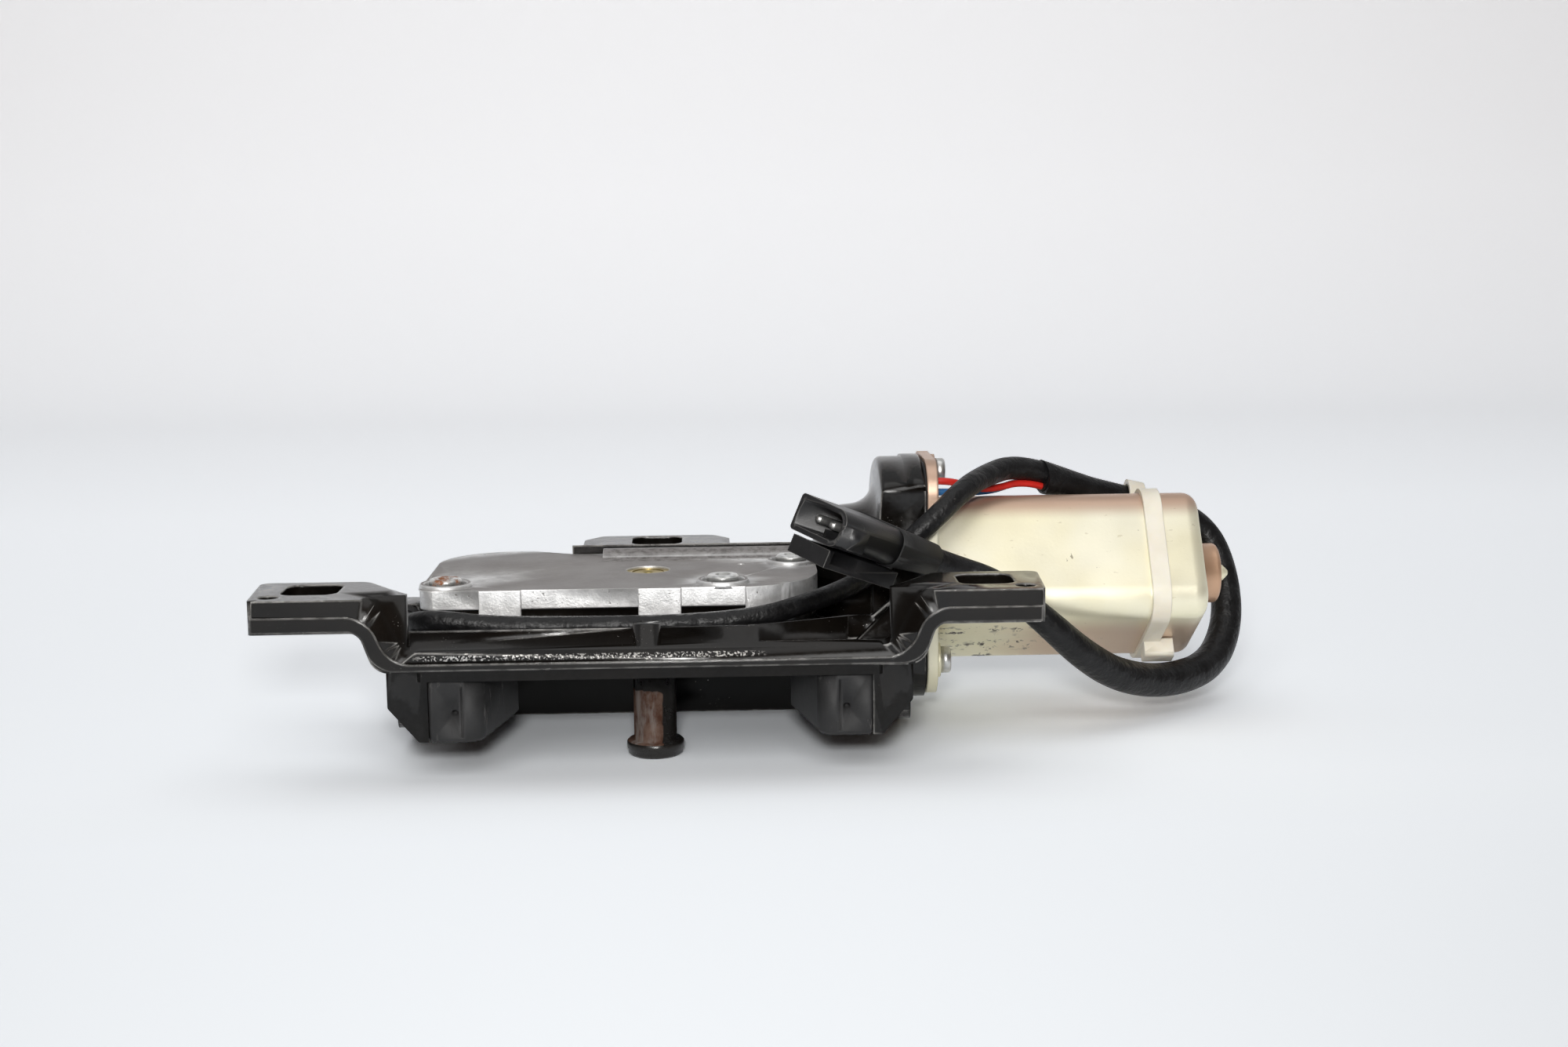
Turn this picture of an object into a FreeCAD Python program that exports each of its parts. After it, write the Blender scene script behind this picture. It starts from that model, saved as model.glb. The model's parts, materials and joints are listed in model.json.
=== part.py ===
import FreeCAD, Part
import math
import os
from FreeCAD import Vector

# Tailgate soft close unit: a motor turns a worm wheel whose spiral track pulls the striker pin in.
# Millimetres. X runs along the ears, Y from the latch side to the back, Z up.
# Everything is drawn with Y measured from the front face and Z from the ears' under face,
# and is saved with Y measured from the line of the two locating holes.

# Ears and front rail
ear_end_x = 93.0
ear_back_x = 94.7
ear_depth = 24.5
ear_height = 8.0
ear_inner_x = 68.8
ear_middle_x = 76.0
seat_start_x = 70.0
seat_relief = 0.6
ear_hole_x = 80.5
ear_hole_y = 14.4
ear_hole_width = 13.6
ear_hole_depth = 14.2
ear_hole_corner = 3.5
locating_x = 89.0
locating_inset = 4.9
locating_r = 2.45
rail_depth = 7.0
rail_bottom = -9.6
rail_top = -4.8
rail_half = 64.2
rail_top_half = 57.2
bend_bottom_x = 67.6
bend_top_x = 63.6
post_inner_x = 56.8
post_front_y = 4.0
parapet_y = 6.0
parapet_top = -0.9
parapet_wall = 2.0
channel_floor = -6.4

# Deck and skirt round the latch mouth
deck_half = 62.2
deck_front = 4.5
deck_bottom = -12.5
deck_back = 79.5
lip_half = 55.0
lip_front = 3.0
skirt_flare = 2.3
skirt_wall = 3.5
skirt_start_y = 34.0
skirt_foot_y = 64.0
right_wall_end = 40.0
left_wall_end = 11.0
stand_level = -38.5
cheek_break_z = -19.0
cheek_bottom = -27.4
cheek_bottom_x = 55.0
cheek_inner_x = 52.7
cheek_wall = 3.4

# Rubber guides
guide_front_x = 40.2
guide_back_x = 33.5
guide_back_y = 36.5
guide_bottom = -27.65
guide_seam_x = 44.8

# Striker pin and slide
striker_y = 33.0
striker_r = 5.35
striker_head_r = 7.2
striker_head_h = 3.9
striker_head_ridge = 0.35
striker_spigot_r = 3.5
striker_sleeve_r = 5.9
striker_sleeve_z = -17.2
stroke = 8.0
slide_half = 13.0
slide_t = 2.6
slide_front = 24.6
slide_gap = 0.3
guide_plate_half = 21.0
guide_plate_t = 2.4
guide_plate_front = 22.6
guide_plate_back = 68.0
guide_screw_x = 17.2
guide_screw_front = 5.4
guide_screw_back = 6.0
guide_screw_r = 1.5
guide_screw_head_r = 2.9
guide_screw_length = 6.0
slot_gap = 0.5

# Cover
cover_left = -56.5
cover_right = 41.5
cover_front = 20.6
cover_back = 79.4
cover_step_y = 73.4
cover_step_x = -22.0
cover_shoulder_x = -33.0
cover_top = 6.0
cover_bottom = 1.3
cover_plate_t = 2.8
cover_rim = 3.0
cover_right_corner = 21.0
cover_left_corner = 18.0
gasket_t = 0.6
wall_inset = 1.7
tab_out = 0.8
tab_gap = 0.1
tab_drop = 2.4
corner_tab_x = (22.9, 34.0)
hump_r = 9.2
hump_left = -14.0
cover_screws_at = [(-50.5, 27.2), (17.5, 26.8), (35.4, 55.0)]
cover_screw_r = 2.4
cover_screw_head_r = 4.0
cover_screw_head_h = 3.0
cover_screw_length = 10.0
screw_recess_r = 5.2
pip_hole_r = 0.9

# Cable inlet on the left wall
inlet_x = -60.8
inlet_z = -2.9
inlet_r = 3.0
inlet_left = -64.4
inlet_right = -57.0
inlet_front = 32.0
inlet_back = 41.5
inlet_top = 0.9
inlet_depth = 8.0
inlet_flange_t = 1.2
wire_way_y = 38.0
wire_way_r = 2.2

# End switch and the pockets in the casting, as x, y and corner radius
pocket_left = -52.0
pocket_floor = -7.6
switch_pocket = [(pocket_left, 33.5, 3.0), (-21.0, 33.5, 3.0), (-21.0, 60.0, 3.0), (-29.0, 73.5, 3.0),
                 (-46.0, 73.5, 8.0), (pocket_left, 66.0, 6.0)]
finger_way = (-24.0, -16.0, 38.0, 56.0)
right_pocket = [(24.0, 36.0, 3.0), (36.5, 36.0, 3.0), (36.5, 50.0, 3.0), (24.0, 50.0, 3.0)]
switch_outline = [(-46.0, 35.0, 2.0), (-24.5, 35.0, 1.0), (-24.5, 56.0, 1.0), (-31.0, 66.0, 2.0), (-46.0, 66.0, 4.0)]
switch_top = 0.4
switch_nose = (-30.0, -20.6, 43.0, 53.0)
switch_neck_x = -24.6
switch_tray = [(-43.0, 38.0, 1.0), (-33.0, 38.0, 1.0), (-33.0, 62.0, 1.0), (-43.0, 62.0, 1.0)]
switch_tray_floor = -5.6
finger_left = -23.0
finger_first_y = 45.0
finger_pitch = 3.0
finger_half = 0.8
finger_step = 2.6
finger_post = 2.0

# Wheel and worm
gear_x = -1.5
gear_y = 47.0
module = 1.1
gear_teeth = 34
worm_pitch_r = 4.3
gear_t = 5.4
web_t = 2.3
chamber_floor = -4.6
gear_lift = 0.55
mesh_play = 0.22
addendum = 0.85
dedendum = 1.25
pressure_angle = 20.0
worm_turns = 24
chamber_gap = 0.7
track_half = 2.2
track_depth = 2.8
track_start_r = 6.2
track_steps = 8
roller_r = 2.0
follower_r = 1.5
journal_low_r = 2.5
journal_top_r = 4.0
journal_gap = 0.04
low_bush_r = 3.5
top_bush_r = 5.6
top_bush_bottom = 2.4
disc_inner_r = 7.0
disc_outer_r = 16.0
disc_t = 0.5
washer_r = 6.2

# Worm shaft and tunnel
worm_shaft_r = 3.0
tunnel_r = 7.2
tunnel_gap = 0.2
tunnel_wall = 3.2
tunnel_left = -13.6
worm_length = 20.0
end_bush_r = 5.4
end_bush_left = -19.0
tunnel_end = -22.5
neck_bush_x = 28.0
neck_bush_t = 7.0
coupling_left = 46.0
coupling_right = 60.0
coupling_r = 6.2
shaft_split = 53.0

# Neck and motor tower
neck_start_x = 41.8
neck_r = 20.8
neck_x = 47.0
tower_right = 70.2
tower_depth = 11.4
tower_rim_depth = 4.8
tower_r = 32.8
tower_rim_r = 33.4
tower_half_y = 19.0
tower_bottom = -31.0
tower_top = 32.0
tower_fillet = 6.5
seal_t = 0.6

# Motor, its lengths along X counted from the flange
flange_t = 2.8
flange_half_y = 18.0
flange_top = 31.8
flange_bottom = -30.6
flange_corner = 9.0
can_half = 18.0
can_corner = 7.0
can_tilt = 34.0
can_length = 70.6
can_edge_r = 4.0
can_wall = 1.4
boss_r = 8.0
boss_length = 6.4
thrust_pin_r = 2.1
thrust_pin_length = 3.2
motor_screw_offsets = [(1.0, 27.3), (-13.2, -21.0)]
motor_screw_r = 2.0
motor_screw_head_r = 3.5
motor_screw_head_h = 2.8
motor_washer_r = 4.6
motor_washer_t = 0.8
motor_screw_length = 10.0
armature_r = 11.6
armature_start = 14.6
armature_length = 36.0
armature_slots = 5
magnet_inner_r = 12.3
magnet_outer_r = 15.6
magnet_overhang = 2.0
magnet_span = 118.0
commutator_r = 6.0
commutator_start = 4.6
commutator_length = 6.6
brush_plate_start = 0.8
brush_plate_t = 2.0
brush_plate_r = 15.2

# Leads, tie and plug
lead_d = 7.4
branch_d = 5.0
wire_d = 1.9
branch_rise = 1.15
wire_drop = 2.5
wire_apart = 1.0
tie_x = 131.2
tie_width = 4.8
tie_t = 1.3
tie_gap = 0.05
tie_head_x = 133.2
tie_head_u = 3.6
tie_head_width = 7.8
tie_head_length = 5.4
tie_head_t = 5.2
tie_reach = 60.0
lead_start_run = 10.0
lead_bends = [
    (87.5, 40.0, 2.6), (99.0, 37.0, -7.0), (109.5, 41.5, -17.0), (120.5, 48.5, -24.6), (135.0, 58.5, -28.6),
    (149.5, 69.0, -27.0), (156.5, 78.5, -17.5), (157.0, 85.5, -4.5), (153.0, 88.6, 7.0),
]
lead_at_can_end = (143.0, 87.6, 14.1)
lead_past_tie = (121.0, 80.2, 19.6)
lead_end = (104.0, 74.2, 24.9)
branch_start_run = 9.0
branch_bends = [
    (87.0, 62.5, 27.0), (79.5, 50.5, 24.8), (70.5, 44.8, 17.0), (61.5, 44.8, 9.5), (53.2, 43.0, 3.2),
    (45.5, 31.5, 1.9), (36.9, 22.0, 1.0), (27.0, 15.4, -0.6), (10.0, 12.6, -1.6), (-14.0, 12.4, -1.7),
    (-38.0, 12.5, -1.3), (-53.5, 13.6, 0.6),
]
branch_last_run = 7.6
wire_start_run = 6.0
wire_last_run = 4.2
red_bends = [(90.5, 68.0, 22.7), (84.0, 62.5, 23.6)]
red_end = (58.4, 26.2)
blue_bends = [(91.0, 70.8, 22.0), (84.5, 65.5, 22.2)]
blue_end = (60.6, 23.0)
plug_back = (68.6, 35.0, 10.0)
plug_turn = 43.4
plug_tilt = 19.4
plug_roll = 12.7
plug_width = 17.0
plug_height = 9.2
plug_length = 41.0
plug_boot_length = 19.6
plug_boot_end = (10.4, 8.2)
plug_boot_grow = 0.35
plug_wall = 1.3
plug_cavity = 14.0
plug_near_corner = 3.6
plug_far_corner = 1.0
plug_pad = (2.6, 8.4, 0.5)
plug_latch_x = (1.8, 27.5)
plug_latch_y = (-5.0, 8.0)
plug_latch_gap = 0.9
plug_latch_t = 4.4
plug_latch_link = (14.0, 20.8)
plug_latch_pocket = (3.4, 12.6)
plug_pin_r = 1.1
plug_pin_pitch = 5.0
plug_pin_start = 4.0
plug_pin_length = 13.0

# Values that follow from the ones above
gear_pitch_r = module * gear_teeth / 2
gear_turn = worm_turns * 360.0 / gear_teeth
wheel_bottom = chamber_floor + gear_lift
wheel_top = wheel_bottom + gear_t
motor_z = (wheel_bottom + wheel_top) / 2
chamber_r = gear_pitch_r + addendum + chamber_gap
housing_rim = cover_bottom - gasket_t
follower_y = gear_y + track_start_r
slide_top = chamber_floor - web_t - slide_gap
slide_bottom = slide_top - slide_t
slide_back = follower_y + 3.3
skirt_half = deck_half + skirt_flare
motor_y = gear_y + gear_pitch_r + worm_pitch_r
motor_screws_at = [(motor_y + dy, z) for dy, z in motor_screw_offsets]
tower_left = tower_right - tower_depth
tower_step = tower_right - tower_rim_depth
flange_left = tower_right + seal_t
flange_right = flange_left + flange_t
can_end_x = flange_right + can_length
armature_x = (flange_right + armature_start, flange_right + armature_start + armature_length)
magnet_x = (armature_x[0] - magnet_overhang, armature_x[1] + magnet_overhang)
commutator_x = (flange_right + commutator_start, flange_right + commutator_start + commutator_length)
brush_plate_x = (flange_right + brush_plate_start, flange_right + brush_plate_start + brush_plate_t)
plug_direction = Vector(math.cos(math.radians(plug_tilt)) * math.cos(math.radians(plug_turn)),
                        math.cos(math.radians(plug_tilt)) * math.sin(math.radians(plug_turn)),
                        -math.sin(math.radians(plug_tilt)))
plug_rear = Vector(*plug_back)
plug_mouth = plug_rear - plug_direction * plug_length

X_AXIS = Vector(1, 0, 0)
Y_AXIS = Vector(0, 1, 0)
Z_AXIS = Vector(0, 0, 1)

# The lead runs straight through the tie to its flared end, where the branch and the two wires leave it
lead_tip = Vector(*lead_end)
lead_out = (lead_tip - Vector(*lead_past_tie)).normalize()
lead_up = (Z_AXIS - lead_out * lead_out.z).normalize()
lead_side = lead_out.cross(lead_up)


def box(x0, x1, y0, y1, z0, z1):
    return Part.makeBox(x1 - x0, y1 - y0, z1 - z0, Vector(x0, y0, z0))


def rod(radius, low, high, x, y):
    return Part.makeCylinder(radius, high - low, Vector(x, y, low), Z_AXIS)


def rod_x(radius, low, high, y=motor_y, z=motor_z):
    return Part.makeCylinder(radius, high - low, Vector(low, y, z), X_AXIS)


def rod_y(radius, low, high, x, z):
    return Part.makeCylinder(radius, high - low, Vector(x, low, z), Y_AXIS)


def tube_x(outer, inner, low, high):
    return rod_x(outer, low, high).cut(rod_x(inner, low, high))


def joined(first, *others):
    return first.multiFuse(list(others)).removeSplitter()


def mirrored(shape):
    return shape.mirror(Vector(0, 0, 0), X_AXIS)


# A closed outline from corners (u, v, radius), drawn on the plane that place puts it on.
def rounded_face(corners, place):
    starts, middles, ends = [], [], []
    for i, (u, v, radius) in enumerate(corners):
        here = Vector(u, v, 0)
        after_corner = corners[(i + 1) % len(corners)]
        before = (Vector(corners[i - 1][0], corners[i - 1][1], 0) - here).normalize()
        after = (Vector(after_corner[0], after_corner[1], 0) - here).normalize()
        half = before.getAngle(after) / 2
        inward = (before + after).normalize() if radius else Vector(0, 0, 0)
        starts.append(here + before * (radius / math.tan(half)))
        ends.append(here + after * (radius / math.tan(half)))
        middles.append(here + inward * (radius / math.sin(half) - radius))
    edges = []
    for i, corner in enumerate(corners):
        if corner[2]:
            edges.append(Part.Arc(place(starts[i]), place(middles[i]), place(ends[i])).toShape())
        line_from = place(ends[i])
        line_to = place(starts[(i + 1) % len(corners)])
        if line_from.distanceToPoint(line_to) > 1e-6:
            edges.append(Part.LineSegment(line_from, line_to).toShape())
    return Part.Face(Part.Wire(edges))


def plan(corners, low, high):
    return rounded_face(corners, lambda p: Vector(p.x, p.y, low)).extrude(Z_AXIS * (high - low))


def front_view(corners, near, far):
    return rounded_face(corners, lambda p: Vector(p.x, near, p.y)).extrude(Y_AXIS * (far - near))


def side_view(corners, left, right):
    return rounded_face(corners, lambda p: Vector(left, p.x, p.y)).extrude(X_AXIS * (right - left))


# Corners for side_view, turned by an angle round a point.
def turned(corners, angle, y=motor_y, z=motor_z):
    c, s = math.cos(math.radians(angle)), math.sin(math.radians(angle))
    return [(y + u * c - v * s, z + u * s + v * c, radius) for u, v, radius in corners]


def save(name, shape):
    shape.translate(Vector(0, -locating_inset, 0))
    shape.exportStep("parts/" + name + ".step")
    shape.translate(Vector(0, locating_inset, 0))


# The cover's outline; the walls below it, the gasket and the cavities use it with an inset.
def cover_corners(inset):
    return [
        (cover_left + inset, cover_front + inset, 4.0),
        (cover_right - inset, cover_front + inset, cover_right_corner - inset),
        (cover_right - inset, cover_step_y - inset, 2.5),
        (cover_step_x + inset * 0.4, cover_step_y - inset, 3.0),
        (cover_shoulder_x - inset * 0.3, cover_back - inset, 3.0),
        (cover_left + inset, cover_back - inset, cover_left_corner - inset),
    ]


def rounded_hole(x, y, low, high):
    w, d = ear_hole_width / 2, ear_hole_depth / 2
    c = ear_hole_corner
    return plan([(x - w, y - d, c), (x + w, y - d, c), (x + w, y + d, c), (x - w, y + d, c)], low, high)


def ears_and_rail():
    bend = [
        (rail_half, rail_bottom, 5.0),
        (bend_bottom_x, 0.0, 2.6),
        (ear_middle_x, 0.0, 0),
        (ear_middle_x, ear_height, 0),
        (bend_top_x, ear_height, 5.0),
        (rail_top_half, rail_top, 4.5),
    ]
    rail = front_view(bend + [(-u, v, r) for u, v, r in reversed(bend)], 0.0, rail_depth)
    ear = plan([
        (ear_middle_x - 4, 0.0, 0),
        (ear_end_x, 0.0, 1.2),
        (ear_back_x, ear_depth, 2.5),
        (ear_inner_x, ear_depth, 4.0),
        (post_inner_x + 4.5, 12.7, 4.0),
        (post_inner_x, 6.5, 0.8),
        (post_inner_x, post_front_y, 0.6),
        (rail_half - 1.0, post_front_y, 0),
    ], 0.0, ear_height)
    post = plan([
        (post_inner_x, post_front_y, 0.6),
        (rail_half - 1.0, post_front_y, 0),
        (rail_half - 1.0, 14.0, 0),
        (post_inner_x + 4.5, 12.7, 0),
        (post_inner_x, 6.5, 0.8),
    ], rail_bottom + 1.6, 1.0)
    return [rail, ear, mirrored(ear), post, mirrored(post)]


def front_tray():
    lip = plan([(-lip_half, lip_front, 1.5), (lip_half, lip_front, 1.5),
                (lip_half, deck_front + 2, 0), (-lip_half, deck_front + 2, 0)], deck_bottom, rail_bottom)
    deck = box(-deck_half, deck_half, deck_front, deck_back, deck_bottom, rail_bottom)
    floor = box(-post_inner_x, post_inner_x, rail_depth - 1, cover_front + 4, rail_bottom - 1, channel_floor)
    turn_x, end_x, end_y = 24.0, 48.5, 16.5
    parapet = plan([
        (-post_inner_x, parapet_y, 0),
        (turn_x, parapet_y, 8.0),
        (end_x, end_y, 0),
        (end_x, end_y + parapet_wall, 0),
        (turn_x, parapet_y + parapet_wall, 6.0),
        (-post_inner_x, parapet_y + parapet_wall, 0),
    ], rail_bottom, parapet_top)
    rib = rod(3.3, rail_top - 1, parapet_top + 1.1, -0.8, parapet_y + 0.2)
    step_wall = front_view([
        (end_x - 1, rail_bottom, 0), (end_x - 1, parapet_top, 0), (end_x + 5, parapet_top, 1.5),
        (post_inner_x + 1, parapet_top + 3.6, 0), (post_inner_x + 1, rail_bottom, 0),
    ], end_y - 1.0, end_y + 1.6)
    gusset = front_view([
        (end_x, rail_top - 1, 0), (post_inner_x + 5, ear_height - 0.6, 0), (post_inner_x + 5, rail_top - 1, 0),
    ], parapet_y + 1.8, parapet_y + 3.8)
    def side_wall(end):
        return plan([
            (post_inner_x, 6.0, 0), (deck_half, 6.0, 0), (deck_half, end, 0), (post_inner_x + 2.2, end, 0),
        ], rail_bottom, parapet_top + 0.4)

    return [lip, deck, floor, parapet, rib, step_wall, gusset, side_wall(right_wall_end), mirrored(side_wall(left_wall_end))]


# The walls below the deck that close the latch mouth left, right and behind, and its feet.
def skirt():
    cheek = [(deck_half, deck_bottom + 1, 0), (deck_half, cheek_break_z, 1.0),
             (cheek_bottom_x, cheek_bottom, 1.0), (cheek_inner_x, cheek_bottom, 0), (cheek_inner_x, deck_bottom + 1, 0)]
    inner = [(deck_half - cheek_wall, deck_bottom, 0), (deck_half - cheek_wall, cheek_break_z + 1.2, 0),
             (cheek_inner_x + 2.4, cheek_bottom + 4.5, 0), (cheek_inner_x + 2.4, deck_bottom, 0)]
    cheek_back = skirt_start_y + 4
    bar = front_view(cheek, deck_front, cheek_back).cut(front_view(inner, deck_front + cheek_wall, cheek_back))
    slope_top = deck_bottom + 1
    slope_start = stand_level + (skirt_foot_y - skirt_start_y) * 0.25
    side = side_view([
        (skirt_start_y, slope_top, 0), (skirt_start_y, slope_start, 3.0), (skirt_foot_y, stand_level, 6.0),
        (deck_back, stand_level, 0), (deck_back, slope_top, 0),
    ], skirt_half - skirt_wall, skirt_half)
    bridge = box(deck_half - cheek_wall, skirt_half, skirt_start_y, skirt_start_y + skirt_wall, -25.0, rail_bottom)
    shelf = box(deck_half - 2, skirt_half, skirt_start_y, deck_back, deck_bottom, rail_bottom)
    back = box(-skirt_half, skirt_half, deck_back - skirt_wall, deck_back, stand_level, slope_top)
    pieces = [back]
    for piece in (bar, side, bridge, shelf):
        pieces += [piece, mirrored(piece)]
    for x in (-40.0, -14.0, 14.0, 40.0):
        pieces.append(side_view([
            (deck_back - skirt_wall, deck_bottom + 1, 0), (deck_back - skirt_wall, -31.0, 0),
            (deck_back - 11.0, deck_bottom - 1, 0), (deck_back - 11.0, deck_bottom + 1, 0),
        ], x - 1.3, x + 1.3))
    return pieces


def drive_case():
    walls = plan(cover_corners(wall_inset), rail_bottom - 1, housing_rim)
    tunnel = rod_x(tunnel_r + tunnel_wall, tunnel_end, neck_start_x + 6)
    above_rim = box(tunnel_end - 1, neck_start_x, motor_y - 2 * tunnel_r, cover_step_y + 0.4, housing_rim, tower_top)
    tunnel = tunnel.cut(above_rim)
    tunnel_foot = box(tunnel_end, neck_start_x, motor_y - 8, deck_back, rail_bottom - 1, motor_z - 4)
    back_block = box(-19.7, 19.7, cover_step_y + 0.4, deck_back, rail_bottom, ear_height - 1)
    rear_ear = plan([(-19.7, cover_step_y + 0.4, 1.0), (19.7, cover_step_y + 0.4, 1.0), (19.7, 84.5, 4.0),
                     (15.0, 91.0, 3.0), (-15.0, 91.0, 3.0), (-19.7, 84.5, 4.0)], 0.0, ear_height)
    inlet = plan([(inlet_left, inlet_front, 2.5), (inlet_right, inlet_front, 1.0), (inlet_right, inlet_back, 1.0),
                  (inlet_left, inlet_back, 2.5)], rail_bottom - 1, inlet_top)
    inlet_link = box(inlet_right - 1, cover_left + wall_inset + 1, inlet_front + 2, inlet_back - 1, rail_bottom - 1, inlet_top - 0.5)
    pieces = [walls, tunnel, tunnel_foot, back_block, rear_ear, inlet, inlet_link]
    for x in (-17.2, 17.2):
        pieces.append(side_view([
            (deck_back - 1, 1.0, 0), (87.0, 1.0, 0), (deck_back - 1, deck_bottom + 1, 0),
        ], x - 1.4, x + 1.4))
    return pieces


# A trumpet turned round the motor axis and cut to an oblong: the neck and the motor tower.
def tower():
    profile = rounded_face([
        (neck_start_x, 0, 0), (tower_right, 0, 0), (tower_right, tower_rim_r, 0.8),
        (tower_step, tower_rim_r, 0), (tower_step, tower_r, 0), (tower_left, tower_r, 1.5),
        (tower_left - 1.2, neck_r, tower_fillet), (neck_x, neck_r - 1.0, 5.0), (neck_start_x, tunnel_r + tunnel_wall, 0),
    ], lambda p: Vector(p.x, motor_y, motor_z + p.y))
    trumpet = profile.revolve(Vector(0, motor_y, motor_z), X_AXIS, 360)
    oblong = side_view([
        (motor_y - tower_half_y, tower_bottom, 8.0), (motor_y + tower_half_y, tower_bottom, 8.0),
        (motor_y + tower_half_y, tower_top, 8.0), (motor_y - tower_half_y, tower_top, 8.0),
    ], tower_left - 2.5, tower_right)
    neck_side = box(neck_start_x, tower_left - 2.5, motor_y - 25, motor_y + 25, -25, 25)
    return trumpet.common(joined(oblong, neck_side))


def housing():
    body = joined(*(ears_and_rail() + front_tray() + skirt() + drive_case() + [tower()]))
    cuts = [
        rounded_hole(ear_hole_x, ear_hole_y, -1, ear_height + 1),
        rounded_hole(-ear_hole_x, ear_hole_y, -1, ear_height + 1),
        rounded_hole(0.0, 82.6, -1, ear_height + 1),
        rod(locating_r, -1, ear_height + 1, locating_x, locating_inset),
        rod(locating_r, -1, ear_height + 1, -locating_x, locating_inset),
    ]
    cuts.append(rod(chamber_r, chamber_floor, cover_top, gear_x, gear_y))
    cuts.append(plan(switch_pocket, pocket_floor, cover_top))
    cuts.append(box(*finger_way, chamber_floor, cover_top))
    cuts.append(plan(right_pocket, pocket_floor, cover_top))
    for inner_x, outer_x in ((rail_half - 1.0, seat_start_x), (-seat_start_x, 1.0 - rail_half)):
        cuts.append(box(inner_x, outer_x, rail_depth, ear_depth + 1, -0.5, seat_relief))
    cuts.append(rod_x(tunnel_r, tunnel_left, tower_right + 1))
    cuts.append(rod_x(end_bush_r, end_bush_left, tunnel_left + 1))
    cuts.append(rod_x(12.0, tower_right - 8, tower_right + 1))
    cuts.append(box(-slide_half - slide_gap, slide_half + slide_gap, slide_front - slide_gap,
                    slide_back + stroke + slide_gap, deck_bottom - 1, slide_top + slide_gap))
    cuts.append(plan([(-guide_plate_half, guide_plate_front, 2.0), (guide_plate_half, guide_plate_front, 2.0),
                      (guide_plate_half, guide_plate_back, 2.0), (-guide_plate_half, guide_plate_back, 2.0)],
                     deck_bottom - 1, deck_bottom + guide_plate_t))
    slot_half = follower_r + slot_gap
    cuts.append(plan([(gear_x - slot_half, follower_y - slot_half, slot_half - 0.01),
                      (gear_x + slot_half, follower_y - slot_half, slot_half - 0.01),
                      (gear_x + slot_half, follower_y + stroke + slot_half, slot_half - 0.01),
                      (gear_x - slot_half, follower_y + stroke + slot_half, slot_half - 0.01)],
                     slide_top - 1, chamber_floor + 1))
    cuts.append(rod(low_bush_r, slide_top - 1, chamber_floor + 1, gear_x, gear_y))
    for x, y in cover_screws_at:
        cuts.append(rod(cover_screw_r, cover_top - cover_screw_length - 1, cover_top, x, y))
    for x, y in guide_screw_places():
        cuts.append(rod(guide_screw_r, deck_bottom, deck_bottom + guide_screw_length + 0.6, x, y))
    for y, z in motor_screws_at:
        cuts.append(rod_x(motor_screw_r, flange_right - motor_screw_length - 2, tower_right + 1, y, z))
    cuts.append(rod_y(inlet_r, inlet_front - 1, inlet_front + inlet_depth, inlet_x, inlet_z))
    cuts.append(rod_x(wire_way_r, inlet_x, pocket_left + 1, wire_way_y, inlet_z))
    for cut in cuts:
        body = body.cut(cut)
    return body.removeSplitter()


def guide_screw_places():
    rows = (guide_plate_front + guide_screw_front, guide_plate_back - guide_screw_back)
    return [(x, y) for x in (-guide_screw_x, guide_screw_x) for y in rows]


def top_cover():
    plate = plan(cover_corners(0.0), cover_bottom, cover_top)
    hump = rod_x(hump_r, hump_left, cover_right)
    hump = hump.common(box(hump_left, cover_right, motor_y - 2 * hump_r, cover_step_y, cover_bottom, cover_top + hump_r))
    body = joined(plate, hump)
    corner_x, corner_y = cover_right - cover_right_corner, cover_front + cover_right_corner
    corner_tab = rod(cover_right_corner + tab_out, cover_bottom - tab_drop, cover_top, corner_x, corner_y)
    corner_tab = corner_tab.cut(rod(cover_right_corner - wall_inset + tab_gap, -10, 10, corner_x, corner_y))
    corner_tab = corner_tab.common(box(*corner_tab_x, cover_front - 2, corner_y, -10, 10))
    tabs = [corner_tab]
    for x0, x1 in ((-41.8, -31.6), (-3.2, 7.2)):
        tabs.append(box(x0, x1, cover_front - tab_out, cover_front + wall_inset - tab_gap, cover_bottom - tab_drop, cover_top))
    hollow = plan(cover_corners(cover_rim), cover_bottom, cover_top - cover_plate_t)
    for x, y in cover_screws_at:
        hollow = hollow.cut(rod(cover_screw_head_r + 2.6, cover_bottom, cover_top, x, y))
    hollow = hollow.cut(rod(top_bush_r + 1.6, top_bush_bottom, cover_top, gear_x, gear_y))
    body = body.cut(hollow)
    body = body.cut(rod_x(tunnel_r + tunnel_gap, hump_left + 0.4, cover_right + 1))
    body = body.cut(rod_x(end_bush_r + tunnel_gap, end_bush_left - 0.5, hump_left + 1))
    body = joined(body, *tabs)
    for x, y in cover_screws_at:
        body = body.cut(rod(screw_recess_r, cover_top - cover_screw_head_h, cover_top + 1, x, y))
        body = body.cut(rod(cover_screw_r + 0.3, cover_bottom - 1, cover_top, x, y))
    body = body.cut(rod(top_bush_r, top_bush_bottom - 1, cover_top + 1, gear_x, gear_y))
    body = body.cut(rod(pip_hole_r, cover_bottom, cover_top + 1, 22.3, 53.0))
    return body.removeSplitter()


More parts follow.
